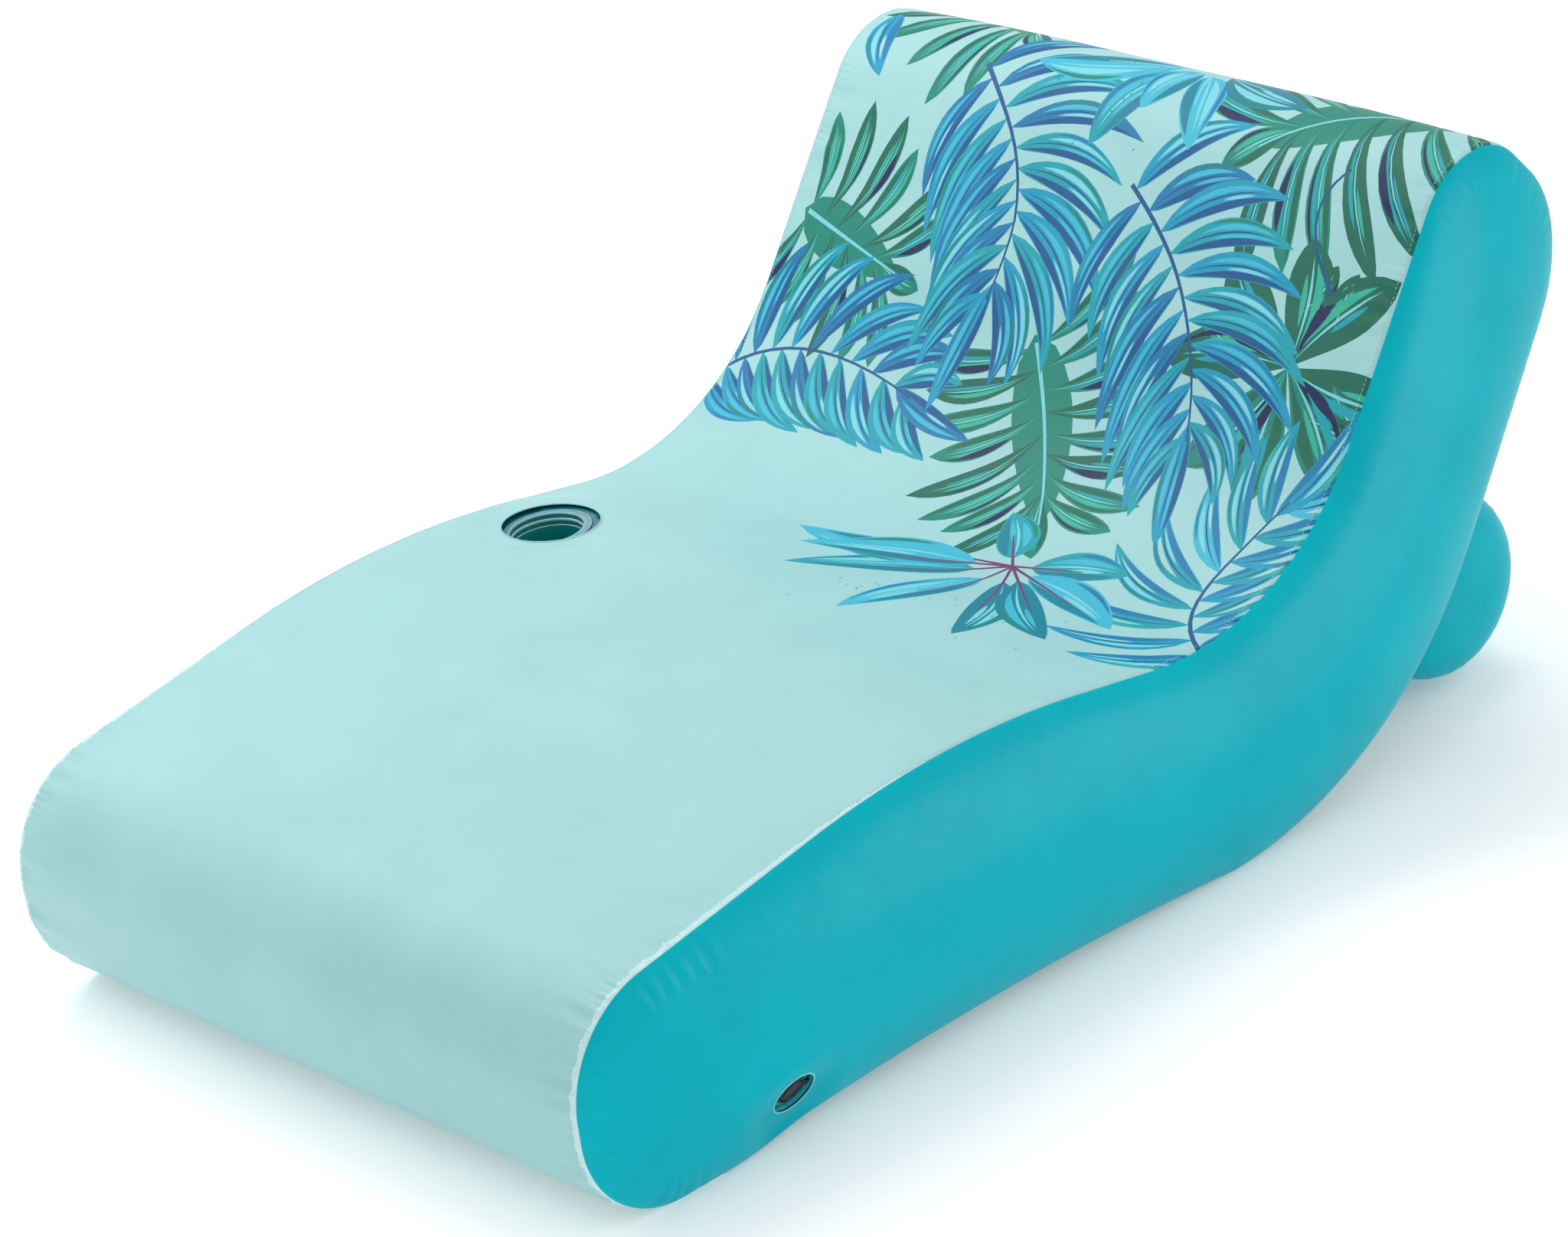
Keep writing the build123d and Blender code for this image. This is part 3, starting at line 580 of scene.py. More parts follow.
# The inks of one leaf: its body colours, its shade, its streaks, its accents and its rib.
Tones = namedtuple("Tones", "bodies shade streaks accents rib")
BLUE_BODIES = ("bright", "bright", "teal", "blue")
BLUES = Tones(BLUE_BODIES, "deep", ("sky", "pale"), ("teal", "leaf", "blue"), "deep")
SKIES = Tones(("sky", "bright", "teal"), "blue", ("pale", "ground"), ("lagoon", "mint"), "deep")
GREENS = Tones(("leaf", "leaf", "forest"), "forest", ("mint", "teal"), ("forest", "navy"), "pale")
TEALS = Tones(("teal", "lagoon", "sky"), "lagoon", ("pale", "sky"), ("leaf", "blue"), "pale")


FROND_LEAN = 1.25
FROND_DROOP = 0.13
SHADOW = "navy"


def curve_through(points):
    """A smooth curve through two to four points, as a function of 0 to 1."""
    points = np.array(points, float)
    t = np.linspace(0, 1, len(points))
    fits = [np.polyfit(t, points[:, k], len(points) - 1) for k in (0, 1)]
    return lambda at: np.stack([np.polyval(f, at) for f in fits], -1)


def heading_of(run):
    """The direction of a vector as an angle."""
    return math.atan2(run[1], run[0])


def towards(angle, distance):
    """A vector from its angle and its length."""
    return distance * np.array([math.cos(angle), math.sin(angle)])


def blade(start, end, half_width, bend, strip=(-1.0, 1.0), cut=(0.0, 1.0), blunt=0.85, count=12):
    """A leaf blade's outline, or a stroke on it: a strip of its width over part of its length."""
    start, end = np.array(start), np.array(end)
    t = np.linspace(cut[0], cut[1], count)
    run = end - start
    side = np.array([-run[1], run[0]])
    middle = start + run * t[:, None] + side * (4 * bend * t * (1 - t))[:, None]
    side = side / np.linalg.norm(run)
    width = half_width * np.sin(np.pi * t**blunt) ** 0.75
    centre, half = (strip[0] + strip[1]) / 2, (strip[1] - strip[0]) / 2
    taper = 1.0
    if cut != (0.0, 1.0):
        taper = np.sin(np.pi * np.linspace(0, 1, count)) ** 0.6
    low = middle + side * (width * (centre - half * taper))[:, None]
    high = middle + side * (width * (centre + half * taper))[:, None]
    return np.vstack([low, high[-2:0:-1]])


def ribbon(points, start_width, end_width):
    """A thin tapering stroke along a curve."""
    line = curve_through(points)(np.linspace(0, 1, 14))
    run = np.gradient(line, axis=0)
    side = np.stack([-run[:, 1], run[:, 0]], -1) / np.linalg.norm(run, axis=1)[:, None]
    half = np.linspace(start_width, end_width, 14)[:, None] / 2
    return np.vstack([line - side * half, (line + side * half)[::-1]])


class Print:
    """The shapes printed on the cloth, in cloth coordinates, each over the ones before."""

    def __init__(self, seed):
        self.shapes = []
        self.random = np.random.default_rng(seed)

    def add(self, outline_points, colour):
        """Prints one shape."""
        self.shapes.append((outline_points, colour))

    def pick(self, names):
        """One of a leaf's inks."""
        return names[self.random.integers(len(names))]

    def between(self, low, high):
        """A number between two values."""
        return self.random.uniform(low, high)

    def brush(self, start, end, half_width, bend, tones, blunt=0.85):
        """The strokes on a leaflet: a shaded side, two streaks, an accent and a rib."""
        side = 1 if bend > 0 else -1

        def stroke(low, high, begin, finish, ink, count=8):
            strip = (low, high) if side > 0 else (-high, -low)
            shape = blade(start, end, half_width, bend, strip, (begin, finish), blunt, count)
            self.add(shape, ink)

        stroke(-0.96, -0.42, 0.04, self.between(0.85, 0.97), tones.shade, 10)
        stroke(0.18, 0.58, self.between(0.10, 0.25), self.between(0.7, 0.92), self.pick(tones.streaks))
        stroke(0.66, 0.90, self.between(0.2, 0.4), self.between(0.75, 0.95), self.pick(tones.accents))
        stroke(-0.40, -0.14, self.between(0.3, 0.5), self.between(0.7, 0.9), self.pick(tones.streaks))
        stroke(-0.07, 0.07, 0.02, 0.86, tones.rib)

    def leaflet(self, start, end, half_width, bend, tones, blunt=0.85):
        """One brushed leaflet."""
        self.add(blade(start, end, half_width, bend, blunt=blunt), self.pick(tones.bodies))
        self.brush(start, end, half_width, bend, tones, blunt)

    def frond(self, stem, pairs, reach, half_width, tones):
        """A feathered leaf: long leaflets in pairs along a stem, drooping towards its tip."""
        line = curve_through(stem)
        for k in range(pairs):
            t = (k + 0.5) / pairs
            heading = heading_of(line(t + 0.02) - line(t - 0.02))
            for side in (-1, 1):
                base = line(t + 0.25 * side / pairs)
                turn = heading + side * (FROND_LEAN - 0.85 * t + self.between(-0.07, 0.07))
                grow = math.sin(math.pi * (0.24 + 0.60 * t)) ** 0.7 * self.between(0.86, 1.06)
                tip = base + towards(turn, reach * grow)
                wide = half_width * self.between(0.85, 1.1)
                self.leaflet(base, tip, wide, FROND_DROOP * side, tones)
        end = line(1.0)
        run = end - line(0.94)
        self.leaflet(end - run, end + towards(heading_of(run), 0.72 * reach), half_width, 0.05, tones)
        self.add(ribbon(stem, 0.0055, 0.0025), tones.rib)

    def split_leaf(self, start, end, half_width, fingers, tones):
        """A broad leaf cut into long rounded fingers, with pale veins and dark hollows."""
        start, end = np.array(start, float), np.array(end, float)
        run = end - start
        length, heading = np.linalg.norm(run), heading_of(run)
        places = []
        for k in range(fingers):
            t = 0.02 + 0.86 * k / fingers
            for side in (-1, 1):
                turn = heading + side * (1.95 - 1.45 * t + self.between(-0.05, 0.05))
                grow = math.sin(math.pi * (0.34 + 0.46 * t)) * self.between(0.88, 1.08)
                base = start + run * t
                places.append((base, base + towards(turn, half_width * grow), -0.08 * side))
        wide = 0.50 * length / fingers
        self.add(blade(start - 0.04 * run, end, 0.24 * half_width, 0.01, blunt=0.7), tones.bodies[0])
        for base, tip, bend in places:
            self.add(blade(base, tip, wide, bend, blunt=1.5), self.pick(tones.bodies))
        for n, (base, tip, bend) in enumerate(places):
            self.brush(base, tip, 0.92 * wide, bend, tones, 1.5)
            if n % 3 == 1:
                strip = (0.30, 0.92) if bend > 0 else (-0.92, -0.30)
                self.add(blade(base, tip, wide, bend, strip, (0.3, 0.75), 1.5, 8), SHADOW)
        self.leaflet(start + 0.8 * run, end + 0.22 * run, 1.1 * wide, 0.05, tones, 1.2)
        self.add(ribbon([start, (start + end) / 2, end], 0.0055, 0.002), tones.rib)

    def fan_leaf(self, centre, reach, headings, half_width, tones):
        """A broad leaf whose long lobes spread from the head of its stalk."""
        centre = np.array(centre)
        lobes = []
        for k, heading in enumerate(headings):
            turn = math.radians(heading)
            tip = centre + towards(turn, reach * self.between(0.85, 1.05))
            lobes.append((tip, 0.06 * (-1) ** k))
            self.add(blade(centre, tip, half_width, lobes[-1][1], blunt=1.3), self.pick(tones.bodies))
            side = -1 if k % 2 else 1
            base = centre + 0.40 * (tip - centre)
            end = base + towards(turn + 0.6 * side, 0.42 * reach)
            self.leaflet(base, end, 0.50 * half_width, 0.06 * side, tones, 1.2)
        for tip, bend in lobes:
            self.brush(centre, tip, 0.9 * half_width, bend, tones, 1.3)
            strip = (0.35, 0.9) if bend > 0 else (-0.9, -0.35)
            self.add(blade(centre, tip, half_width, bend, strip, (0.12, 0.5), 1.3, 8), SHADOW)

    def whorl(self, centre, tips, half_width, tones, stalk):
        """Leaflets spread round a centre, each on its own short stalk."""
        centre = np.array(centre)
        for k, tip in enumerate(tips):
            base = centre + 0.16 * (np.array(tip) - centre)
            self.leaflet(base, tip, half_width, 0.07 * (-1) ** k, tones)
            middle = centre + 0.6 * (np.array(tip) - centre)
            self.add(ribbon([centre, middle], 0.004, 0.0015), stalk)

    def speckle(self, centre, spread, count, ink):
        """A scatter of small brush flecks."""
        for _ in range(count):
            place = np.array(centre) + self.random.normal(0, 1, 2) * spread
            turn = self.between(0, math.pi)
            self.add(blade(place, place + towards(turn, 0.004), 0.0009, 0.1, count=5), ink)


def leaf_print():
    """The backrest's print of mixed tropical leaves, ending part of the way down the seat."""
    made = Print(5)
    # Split leaves lie at both ends of the crest, at the left seam and in the middle; a fan at the right.
    made.split_leaf((1.90, 0.38), (1.76, 0.20), 0.205, 7, GREENS)
    made.split_leaf((1.95, -0.33), (1.84, -0.20), 0.170, 6, GREENS)
    made.split_leaf((1.575, -0.41), (1.53, -0.24), 0.145, 6, GREENS)
    made.split_leaf((1.50, -0.01), (1.29, 0.13), 0.165, 8, GREENS)
    made.fan_leaf((1.545, 0.335), 0.160, (-8, 42, 95, 138, 176, 214, 262, 310), 0.031, GREENS)
    # Two feathered fronds come in from the seams, and two hang from the crest.
    made.frond([(1.345, -0.47), (1.42, -0.35), (1.40, -0.15)], 11, 0.160, 0.0155, BLUES)
    made.frond([(1.19, 0.46), (1.27, 0.38), (1.41, 0.40)], 8, 0.170, 0.0160, SKIES)
    made.frond([(1.78, -0.22), (1.71, -0.14), (1.63, -0.10), (1.53, -0.10)], 11, 0.195, 0.0155, BLUES)
    made.frond([(1.69, 0.05), (1.62, 0.14), (1.54, 0.20), (1.44, 0.24)], 11, 0.185, 0.0155, BLUES)
    made.add(ribbon([(1.63, 0.36), (1.70, 0.31), (1.76, 0.33)], 0.004, 0.003), "deep")
    # A spray of single blades near the crest.
    spray = ((1.72, -0.03), (1.80, -0.16), (1.77, 0.02), (1.74, 0.11), (1.82, 0.22), (1.90, 0.10))
    made.whorl((1.86, 0.05), spray, 0.026, TEALS, "pale")
    made.leaflet((1.83, -0.41), (1.74, -0.37), 0.020, 0.08, SKIES)
    # An open whorl lies where the seat begins.
    tips = (
        (1.085, -0.055),
        (1.180, -0.130),
        (1.020, 0.095),
        (1.045, 0.240),
        (1.105, 0.315),
        (1.265, 0.285),
        (1.300, 0.085),
        (1.175, 0.340),
        (1.145, -0.095),
    )
    made.whorl((1.224, 0.152), tips, 0.0250, TEALS, "plum")
    made.speckle((1.11, 0.07), 0.035, 26, "lagoon")
    made.speckle((1.13, 0.24), 0.035, 22, "lagoon")
    made.speckle((1.79, -0.02), 0.040, 26, "lagoon")
    return made.shapes


# ---- cover and bladder sheets
HEM_REACH = 0.0064
HEM_SPAN = (0.04, 0.52, 0.35)
HEM_UNEVEN = 0.3
HEM_WAVELENGTH = 0.03
HEM_SEED = 8
EDGE_GAPS = np.array([0.0015, 0.0038, 0.0064, 0.0093, 0.0128, 0.017, 0.022, 0.029])
FILM_GAPS = (0.02,)
VALVE_RING_REACHES = (0.0, 0.002, 0.005, 0.010, 0.017)
BULGE_POWER = 0.72
SIDE_FOLDS = 0.45
SAME_POINT = 1e-6


def wrap_grid(s_low, s_high, pitch, edge_step):
    """Border and inner points of a wrapped panel in cloth coordinates, finer at its side seams."""
    fine = np.linspace(s_low, s_high, max(3, round((s_high - s_low) / edge_step)))
    coarse = np.linspace(s_low, s_high, max(3, round((s_high - s_low) / pitch)))
    reach = SEAM_X - EDGE_GAPS[-1] - 0.5 * pitch
    rows = np.linspace(-reach, reach, max(3, round(2 * reach / pitch)))
    edges = np.concatenate([EDGE_GAPS - SEAM_X, SEAM_X - EDGE_GAPS])
    ends = np.sort(np.concatenate([edges, rows]))
    left, right = columns(fine, -SEAM_X), columns(fine, SEAM_X)
    near, far = columns(s_low, ends), columns(s_high, ends)
    border = np.vstack([left, far, right[::-1], near[::-1]])
    side = columns(*np.meshgrid(fine[1:-1], edges, indexing="ij")).reshape(-1, 2)
    inner = columns(*np.meshgrid(coarse[1:-1], rows, indexing="ij")).reshape(-1, 2)
    return border, np.vstack([side, inner])


def store(piece, name, values):
    """Stores a vector for each point of a mesh, for its material."""
    data = piece.data.attributes.new(name, "FLOAT_VECTOR", "POINT").data
    data.foreach_set("vector", np.asarray(values, float).ravel())


def colour_print(piece, flat, tri, tops, shapes):
    """Gives each triangle the ink of the shape over it, or else the turned edge's or the ground's."""
    centre = flat[tri].mean(axis=1)
    uneven = 1 + HEM_UNEVEN * ripple(centre[:, 0], HEM_WAVELENGTH, HEM_SEED)
    turned = SEAM_X - np.abs(centre[:, 1]) < HEM_REACH * uneven * band(centre[:, 0], *HEM_SPAN)
    bare = ["edge" if t else "ground" for t in turned]
    chosen = [shapes[top][1] if top >= 0 else ground for top, ground in zip(tops, bare)]
    colours = np.array([(*PALETTE[ink], 1.0) for ink in chosen])
    layer = piece.data.color_attributes.new("print", "FLOAT_COLOR", "CORNER")
    layer.data.foreach_set("color", np.repeat(colours, 3, axis=0).ravel())


def wrap_piece(name, s_low, s_high, depth=0.0, pitch=0.009, holes=(), shapes=(), wide=1.0):
    """A panel that wraps round the float from one side seam to the other."""
    border, points = wrap_grid(s_low, s_high, pitch, SEAM_STEP if not depth else 2 * pitch)
    for hole in holes:
        points = points[~inside(points, hole)]
    flat, tris, tops = triangulate(border, holes, points, [outline_points for outline_points, _ in shapes])

    def shape(s, x):
        return wrap(s, x * wide, depth)

    verts = shape(flat[:, 0], flat[:, 1])
    normals = surface_normals(shape, flat[:, 0], flat[:, 1])
    tri = np.array(tris)
    facing = np.cross(verts[tri[:, 1]] - verts[tri[:, 0]], verts[tri[:, 2]] - verts[tri[:, 0]])
    flip = np.sum(facing * normals[tri[:, 0]], axis=1) < 0
    tri[flip] = tri[flip][:, ::-1]
    piece = mesh_object(name, verts, tri, normals)
    store(piece, "cloth", columns(flat[:, 0], flat[:, 1], 0))
    if shapes:
        colour_print(piece, flat, tri, tops, shapes)
    return piece


def membrane(flat, tri, fixed):
    """Heights of an evenly loaded membrane over a flat mesh, held at the fixed points."""
    rows, cols, weights = [], [], []
    area = np.zeros(len(flat))
    for k in range(3):
        a, b, c = tri[:, k], tri[:, (k + 1) % 3], tri[:, (k + 2) % 3]
        u, v = flat[a] - flat[c], flat[b] - flat[c]
        cross = np.abs(u[:, 0] * v[:, 1] - u[:, 1] * v[:, 0]) + 1e-12
        cot = np.clip(0.5 * np.sum(u * v, axis=1) / cross, 0.02, 4.0)
        rows += [a, b]
        cols += [b, a]
        weights += [cot, cot]
        area += np.bincount(c, cross / 6, len(flat))
    rows, cols, weights = map(np.concatenate, (rows, cols, weights))
    diagonal = np.bincount(rows, weights, len(flat))
    diagonal = np.where(diagonal > 1e-9, diagonal, 1.0)
    free = ~fixed

    def apply(u):
        return free * (diagonal * u - np.bincount(rows, weights * u[cols], len(flat)))

    height = np.zeros(len(flat))
    left = free * area
    scaled = left / diagonal
    step, power = scaled.copy(), left @ scaled
    enough = 1e-12 * power
    for _ in range(600):
        push = apply(step)
        size = power / (step @ push)
        height += size * step
        left -= size * push
        scaled = left / diagonal
        power, before = left @ scaled, power
        if power < enough:
            break
        step = scaled + step * power / before
    return np.clip(height / height.max(), 0.0, 1.0)


def valve_rings(hole_r):
    """Rings of points round the valve's opening in a side panel, the edge of the opening first."""
    turn = turns(64)
    upright = hole_r * math.cos(VALVE_TILT)
    rings = []
    for reach in VALVE_RING_REACHES:
        y = VALVE.translation.y + (hole_r + reach) * np.cos(turn)
        z = VALVE.translation.z + (upright + reach) * np.sin(turn)
        rings.append(columns(y, z))
    return rings


def nearest_on(border, flat):
    """How far each point is from a border, and the number of the border's nearest point."""
    distance, nearest = [], []
    for chunk in np.array_split(flat, 40):
        away = np.hypot(chunk[:, None, 0] - border[None, :, 0], chunk[:, None, 1] - border[None, :, 1])
        distance.append(away.min(axis=1))
        nearest.append(away.argmin(axis=1))
    return np.concatenate(distance), np.concatenate(nearest)


def side_piece(name, side, depth=0.0, hole_r=None, step=SEAM_STEP, pitch=0.011):
    """A side panel: held flat at the seam all round and bulging between."""
    count = round(S_END / step)
    s = np.arange(count) * S_END / count
    base, out = outline.at(s), outline.outward(s)
    border = base + out * (seam_offset(s) - SEAM_SINK - depth)[:, None]
    rings = [border - out * gap for gap in (EDGE_GAPS if not depth else FILM_GAPS)]
    y, z = np.meshgrid(np.arange(-0.72, 0.73, pitch), np.arange(0.01, 0.64, pitch))
    grid = columns(y.ravel(), z.ravel())
    grid = grid[inside(grid, rings[-1] - out * 0.5 * pitch)]
    holes = valve_rings(hole_r) if hole_r else []
    if holes:
        grid = grid[~inside(grid, holes[-1])]
    flat, tris, _ = triangulate(border, holes[:1], np.vstack([*rings, grid, *holes[1:]]))
    tri = np.array(tris)
    gap, nearest = nearest_on(border, flat)
    free = gap > SAME_POINT
    seed = (RIGHT_SEED if side > 0 else LEFT_SEED) + 5
    height = membrane(flat, tri, ~free) ** BULGE_POWER * SIDE_BULGE
    height = height + free * (SIDE_FOLDS * puckers(s[nearest], gap, seed) - depth)
    verts = columns(SEAM_X + height, flat[:, 0], np.maximum(flat[:, 1], FLOOR_CLEARANCE))
    if side > 0:
        verts = settle_to_valve(verts, gap, depth)
    verts[:, 0] *= side
    facing = np.cross(flat[tri[:, 1]] - flat[tri[:, 0]], flat[tri[:, 2]] - flat[tri[:, 0]])
    tri[facing * side < 0] = tri[facing * side < 0][:, ::-1]
    piece = mesh_object(name, verts, tri)
    store(piece, "cloth", columns(flat[:, 0], flat[:, 1], 0))
    return piece


# ---- turned and swept pieces
def placed(place, points):
    """Points given in a plane's own space, in the float's space."""
    points = np.asarray(points, float)
    turn = np.array(place.to_3x3())
    return points @ turn.T + np.array(place.translation)


def lathe(name, place, profile, count=96):
    """A closed or open form turned about a plane's normal, from radius and height pairs."""
    turn = turns(count)
    rings = [columns(radius * np.cos(turn), radius * np.sin(turn), height) for radius, height in profile]
    return mesh_object(name, placed(place, np.vstack(rings)), grid_faces(len(profile), count, closed=True))


BEAD_SIDES = 6
BEAD_SHOULDER = 0.7
HEM_ROLL = 0.10


def loop_tube(name, path, across, up, half_width, half_height, sides=10):
    """A closed tube of oval section that follows a loop of points."""
    verts = []
    for angle in turns(sides):
        verts.append(path + across * half_width * math.cos(angle) + up * half_height * math.sin(angle))
    verts = np.stack(verts, 1).reshape(-1, 3)
    faces = grid_faces(len(path) + 1, sides, closed=True)
    return mesh_object(name, verts, [[v % len(verts) for v in face] for face in faces])


def hem(name, place, radius, half_width, half_height, lift, seed):
    """A rolled hem round an opening, slightly uneven like sewn cloth."""
    turn = turns(180)
    uneven = 1 + HEM_ROLL * ripple(turn * radius, 0.012, seed)[:, None]
    out = columns(np.cos(turn), np.sin(turn), 0)
    path = placed(place, out * radius + [0, 0, lift])
    rotation = np.array(place.to_3x3()).T
    up = axis(place, 2) * uneven
    return loop_tube(name, path, (out * uneven) @ rotation, up, half_width, half_height)


def beads(name, centres, along, up, half_length, half_width, half_height):
    """Many small rounded stitches or studs as one mesh."""
    along, up = (np.broadcast_to(way, centres.shape) for way in (along, up))
    across = np.cross(along, up)
    across /= np.linalg.norm(across, axis=1, keepdims=True)
    up = np.cross(across, along)
    verts, faces = [], []
    for at in (-BEAD_SHOULDER, BEAD_SHOULDER):
        for angle in turns(BEAD_SIDES):
            side = across * half_width * BEAD_SHOULDER * math.cos(angle)
            rise = up * half_height * BEAD_SHOULDER * math.sin(angle)
            verts.append(centres + along * half_length * at + side + rise)
    verts.append(centres - along * half_length)
    verts.append(centres + along * half_length)
    verts = np.stack(verts, 1)
    n = BEAD_SIDES
    cells = [(j, (j + 1) % n, n + (j + 1) % n, n + j) for j in range(n)]
    cells += [((j + 1) % n, j, 2 * n) for j in range(n)]
    cells += [(n + j, n + (j + 1) % n, 2 * n + 1) for j in range(n)]
    for i in range(len(centres)):
        faces += [[(2 * n + 2) * i + v for v in cell] for cell in cells]
    return mesh_object(name, verts.reshape(-1, 3), faces)


def bead_ring(name, place, count, radius, height, radial, *half_sizes):
    """A ring of beads on a plane, that point out from its centre or else lie along the ring."""
    turn = turns(count)
    out = columns(np.cos(turn), np.sin(turn), 0)
    along = out if radial else columns(-np.sin(turn), np.cos(turn), 0)
    centres = placed(place, out * radius + [0, 0, height])
    return beads(name, centres, along @ np.array(place.to_3x3()).T, axis(place, 2), *half_sizes)


def stitch_line(name, point_at, normal_at, length, spacing, half_length, half_width):
    """A row of stitches along a line given by distance."""
    count = int(length / spacing)
    at = (np.arange(count) + 0.5) * length / count
    run = point_at(at + 0.001) - point_at(at - 0.001)
    run /= np.linalg.norm(run, axis=1, keepdims=True)
    up = normal_at(at)
    return beads(name, point_at(at) + up * 0.0002, run, up, half_length, half_width, 0.0004)


# ---- the fabric cover
def hole_in_cloth(place, radius, count=96):
    """An opening in the top panel, in cloth coordinates."""
    centre = place.translation
    middle = outline.distance_to((centre.y, centre.z))
    return circle((middle, centre.x), radius, count)


cup_cut = hole_in_cloth(CUP_OPENING, CUP_OPENING_R - 0.0008)
top = wrap_piece("cover_top", 0.0, S_CREST, holes=[cup_cut], shapes=leaf_print())
finish_piece(top, PRINTED, "cover_top_panel")
back = finish_piece(wrap_piece("cover_back", S_CREST, S_ZIP), AQUA, "cover_back_panel")
under = finish_piece(wrap_piece("cover_underside", S_ZIP, S_END), UNDER, "cover_underside_panel")
side_right = side_piece("cover_side_right_cloth", 1, hole_r=VALVE_HOLE_R)
finish_piece(side_right, TEAL, "cover_side_right")
side_left = finish_piece(side_piece("cover_side_left_cloth", -1), TEAL, "cover_side_left")

cup_hem = hem("cup_hem", CUP_OPENING, CUP_OPENING_R - 0.0009, 0.0011, 0.0010, 0.0009, 21)
finish_piece(cup_hem, AQUA, "cup_opening_hem", slot="printed_fabric")
# The valve hem takes the pale hem cloth, a painted highlight round the opening.
valve_hem = hem("valve_hem", VALVE, VALVE_HOLE_R + 0.0009, 0.0012, 0.0007, 0.0005, 22)
finish_piece(valve_hem, HEM_HIGHLIGHT, "valve_opening_hem", slot="teal_fabric")


SEAM_STITCH = (0.0052, 0.0016, 0.0003)


def seam_stitches(name, side, inset):
    """Stitches on the wrapped cloth beside a side seam."""

    def point(s):
        return wrap(s, np.full_like(s, side * (SEAM_X - inset)))

    def normal(s):
        out = outline.outward(s)
        return columns(0, out[:, 0], out[:, 1])

    made = stitch_line(name, point, normal, S_END, *SEAM_STITCH)
    return finish_piece(made, THREAD, slot="aqua_fabric")


for side, word in ((1, "right"), (-1, "left")):
    seam_stitches(f"seam_stitches_{word}", side, 0.005)

# ---- the air bladder and its webs
bladder_cut = hole_in_cloth(CUP, CUP_FLANGE_R - 0.001)
WELD_S = outline.distance_to((-0.726, 0.113))
# The bladder is welded a little narrower than the cover, and its panels need fewer points.
NARROW = 0.9925
FILM_STEP = 0.012
FILM_PITCH = 0.018
FILM_HOLE_R = VALVE_HOLE_R + 0.0012
film_top = wrap_piece("bladder_top", WELD_S, S_CREST, BLADDER_DEPTH, 0.014, [bladder_cut], wide=NARROW)
finish_piece(film_top, BLADDER, "bladder_top_sheet")
film_under = wrap_piece("bladder_underside", S_CREST, S_END + WELD_S, BLADDER_DEPTH, 0.02, wide=NARROW)
finish_piece(film_under, BLADDER, "bladder_bottom_sheet")
film = (BLADDER_DEPTH, FILM_HOLE_R, FILM_STEP, FILM_PITCH)
film_right = finish_piece(side_piece("bladder_side_right_film", 1, *film), BLADDER, "bladder_side_right")
film = (BLADDER_DEPTH, None, FILM_STEP, FILM_PITCH)
film_left = finish_piece(side_piece("bladder_side_left_film", -1, *film), BLADDER, "bladder_side_left")

WEB_CLEARANCE = 0.0045
WEB_T = 0.0008
VENTS = (-0.3, -0.1, 0.1, 0.3)
VENT_R = 0.012
WEB_SLACK = 0.0015
WEB_WAVES = 26


def web_piece(node):
    """One web: a thin film between the bladder's top and bottom, in the plane of the CAD web."""
    low, high = np.array(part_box(node))
    start = np.array([high[1] - WEB_T / 2, low[2]])
    end = np.array([low[1] + WEB_T / 2, high[2]])
    length = np.linalg.norm(end - start)
    up = (end - start) / length
    reach = high[0]
    tall = length - 2 * WEB_CLEARANCE
    x, v = np.linspace(-reach, reach, 61), np.linspace(0, tall, 12)
    upright = columns(reach, v[1:-1])
    border = np.vstack([columns(x, 0), upright, columns(x[::-1], tall), upright[::-1] * (-1, 1)])
    vents = [circle((at, tall / 2), VENT_R, 28) for at in VENTS]
    grid = columns(*np.meshgrid(x[1:-1], v[1:-1])).reshape(-1, 2)
    for vent in vents:
        grid = grid[~inside(grid, vent)]
    flat, tris, _ = triangulate(border, vents, grid)
    lifted = SEAM_LIFT * (np.abs(flat[:, 0]) / SEAM_X) ** LIFT_POWER * (1 - flat[:, 1] / tall)
    climb = WEB_CLEARANCE + flat[:, 1] + (lifted if node.startswith("seat") else 0.0)
    slack = WEB_SLACK * np.sin(flat[:, 0] * WEB_WAVES) * np.sin(np.pi * flat[:, 1] / tall)
    y = start[0] + up[0] * climb + up[1] * slack
    z = start[1] + up[1] * climb - up[0] * slack
    piece = mesh_object(f"{node}_film", columns(flat[:, 0], y, z), tris)
    finish_piece(piece, BLADDER, node)
    return piece, (2 * reach, tall)


WEB_NODES = [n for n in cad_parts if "_web" in n]
webs = [web_piece(node) for node in sorted(WEB_NODES)]

# ---- cup holder
CUP_R = 0.0402
RIDGES = 5
RIDGE_STEP = 0.0026
RIDGE_DEPTH = 0.0012
NECK_TOP = -0.0016
neck = [(CUP_R + RIDGE_DEPTH * (k % 2), NECK_TOP - 0.5 * RIDGE_STEP * k) for k in range(2 * RIDGES + 1)]
WELL_PROFILE = [
    *neck, (0.0405, -0.020), (0.0409, -0.045), (0.0408, -0.070), (0.0404, -0.088),
    (0.0396, -0.0935), (0.0372, -0.0960),
]
FLANGE_PROFILE = [
    (0.0412, -0.0024), (0.0497, -0.0020), (0.0502, -0.0012), (0.0497, -0.0004), (0.0484, 0.0001),
    (0.0474, -0.0003), (0.0448, -0.0003), (0.0438, 0.0001), (0.0416, -0.0001), (0.0406, -0.0006),
    (0.0402, -0.0016),
]
FLOOR_PROFILE = [
    (0.0374, -0.0959), (0.0350, -0.0964), (0.0330, -0.0956), (0.0300, -0.0962), (0.0220, -0.0957),
    (0.0120, -0.0962), (0.0004, -0.0960),
]
BEAD_TURNS = [math.pi * k / 8 for k in range(9)]
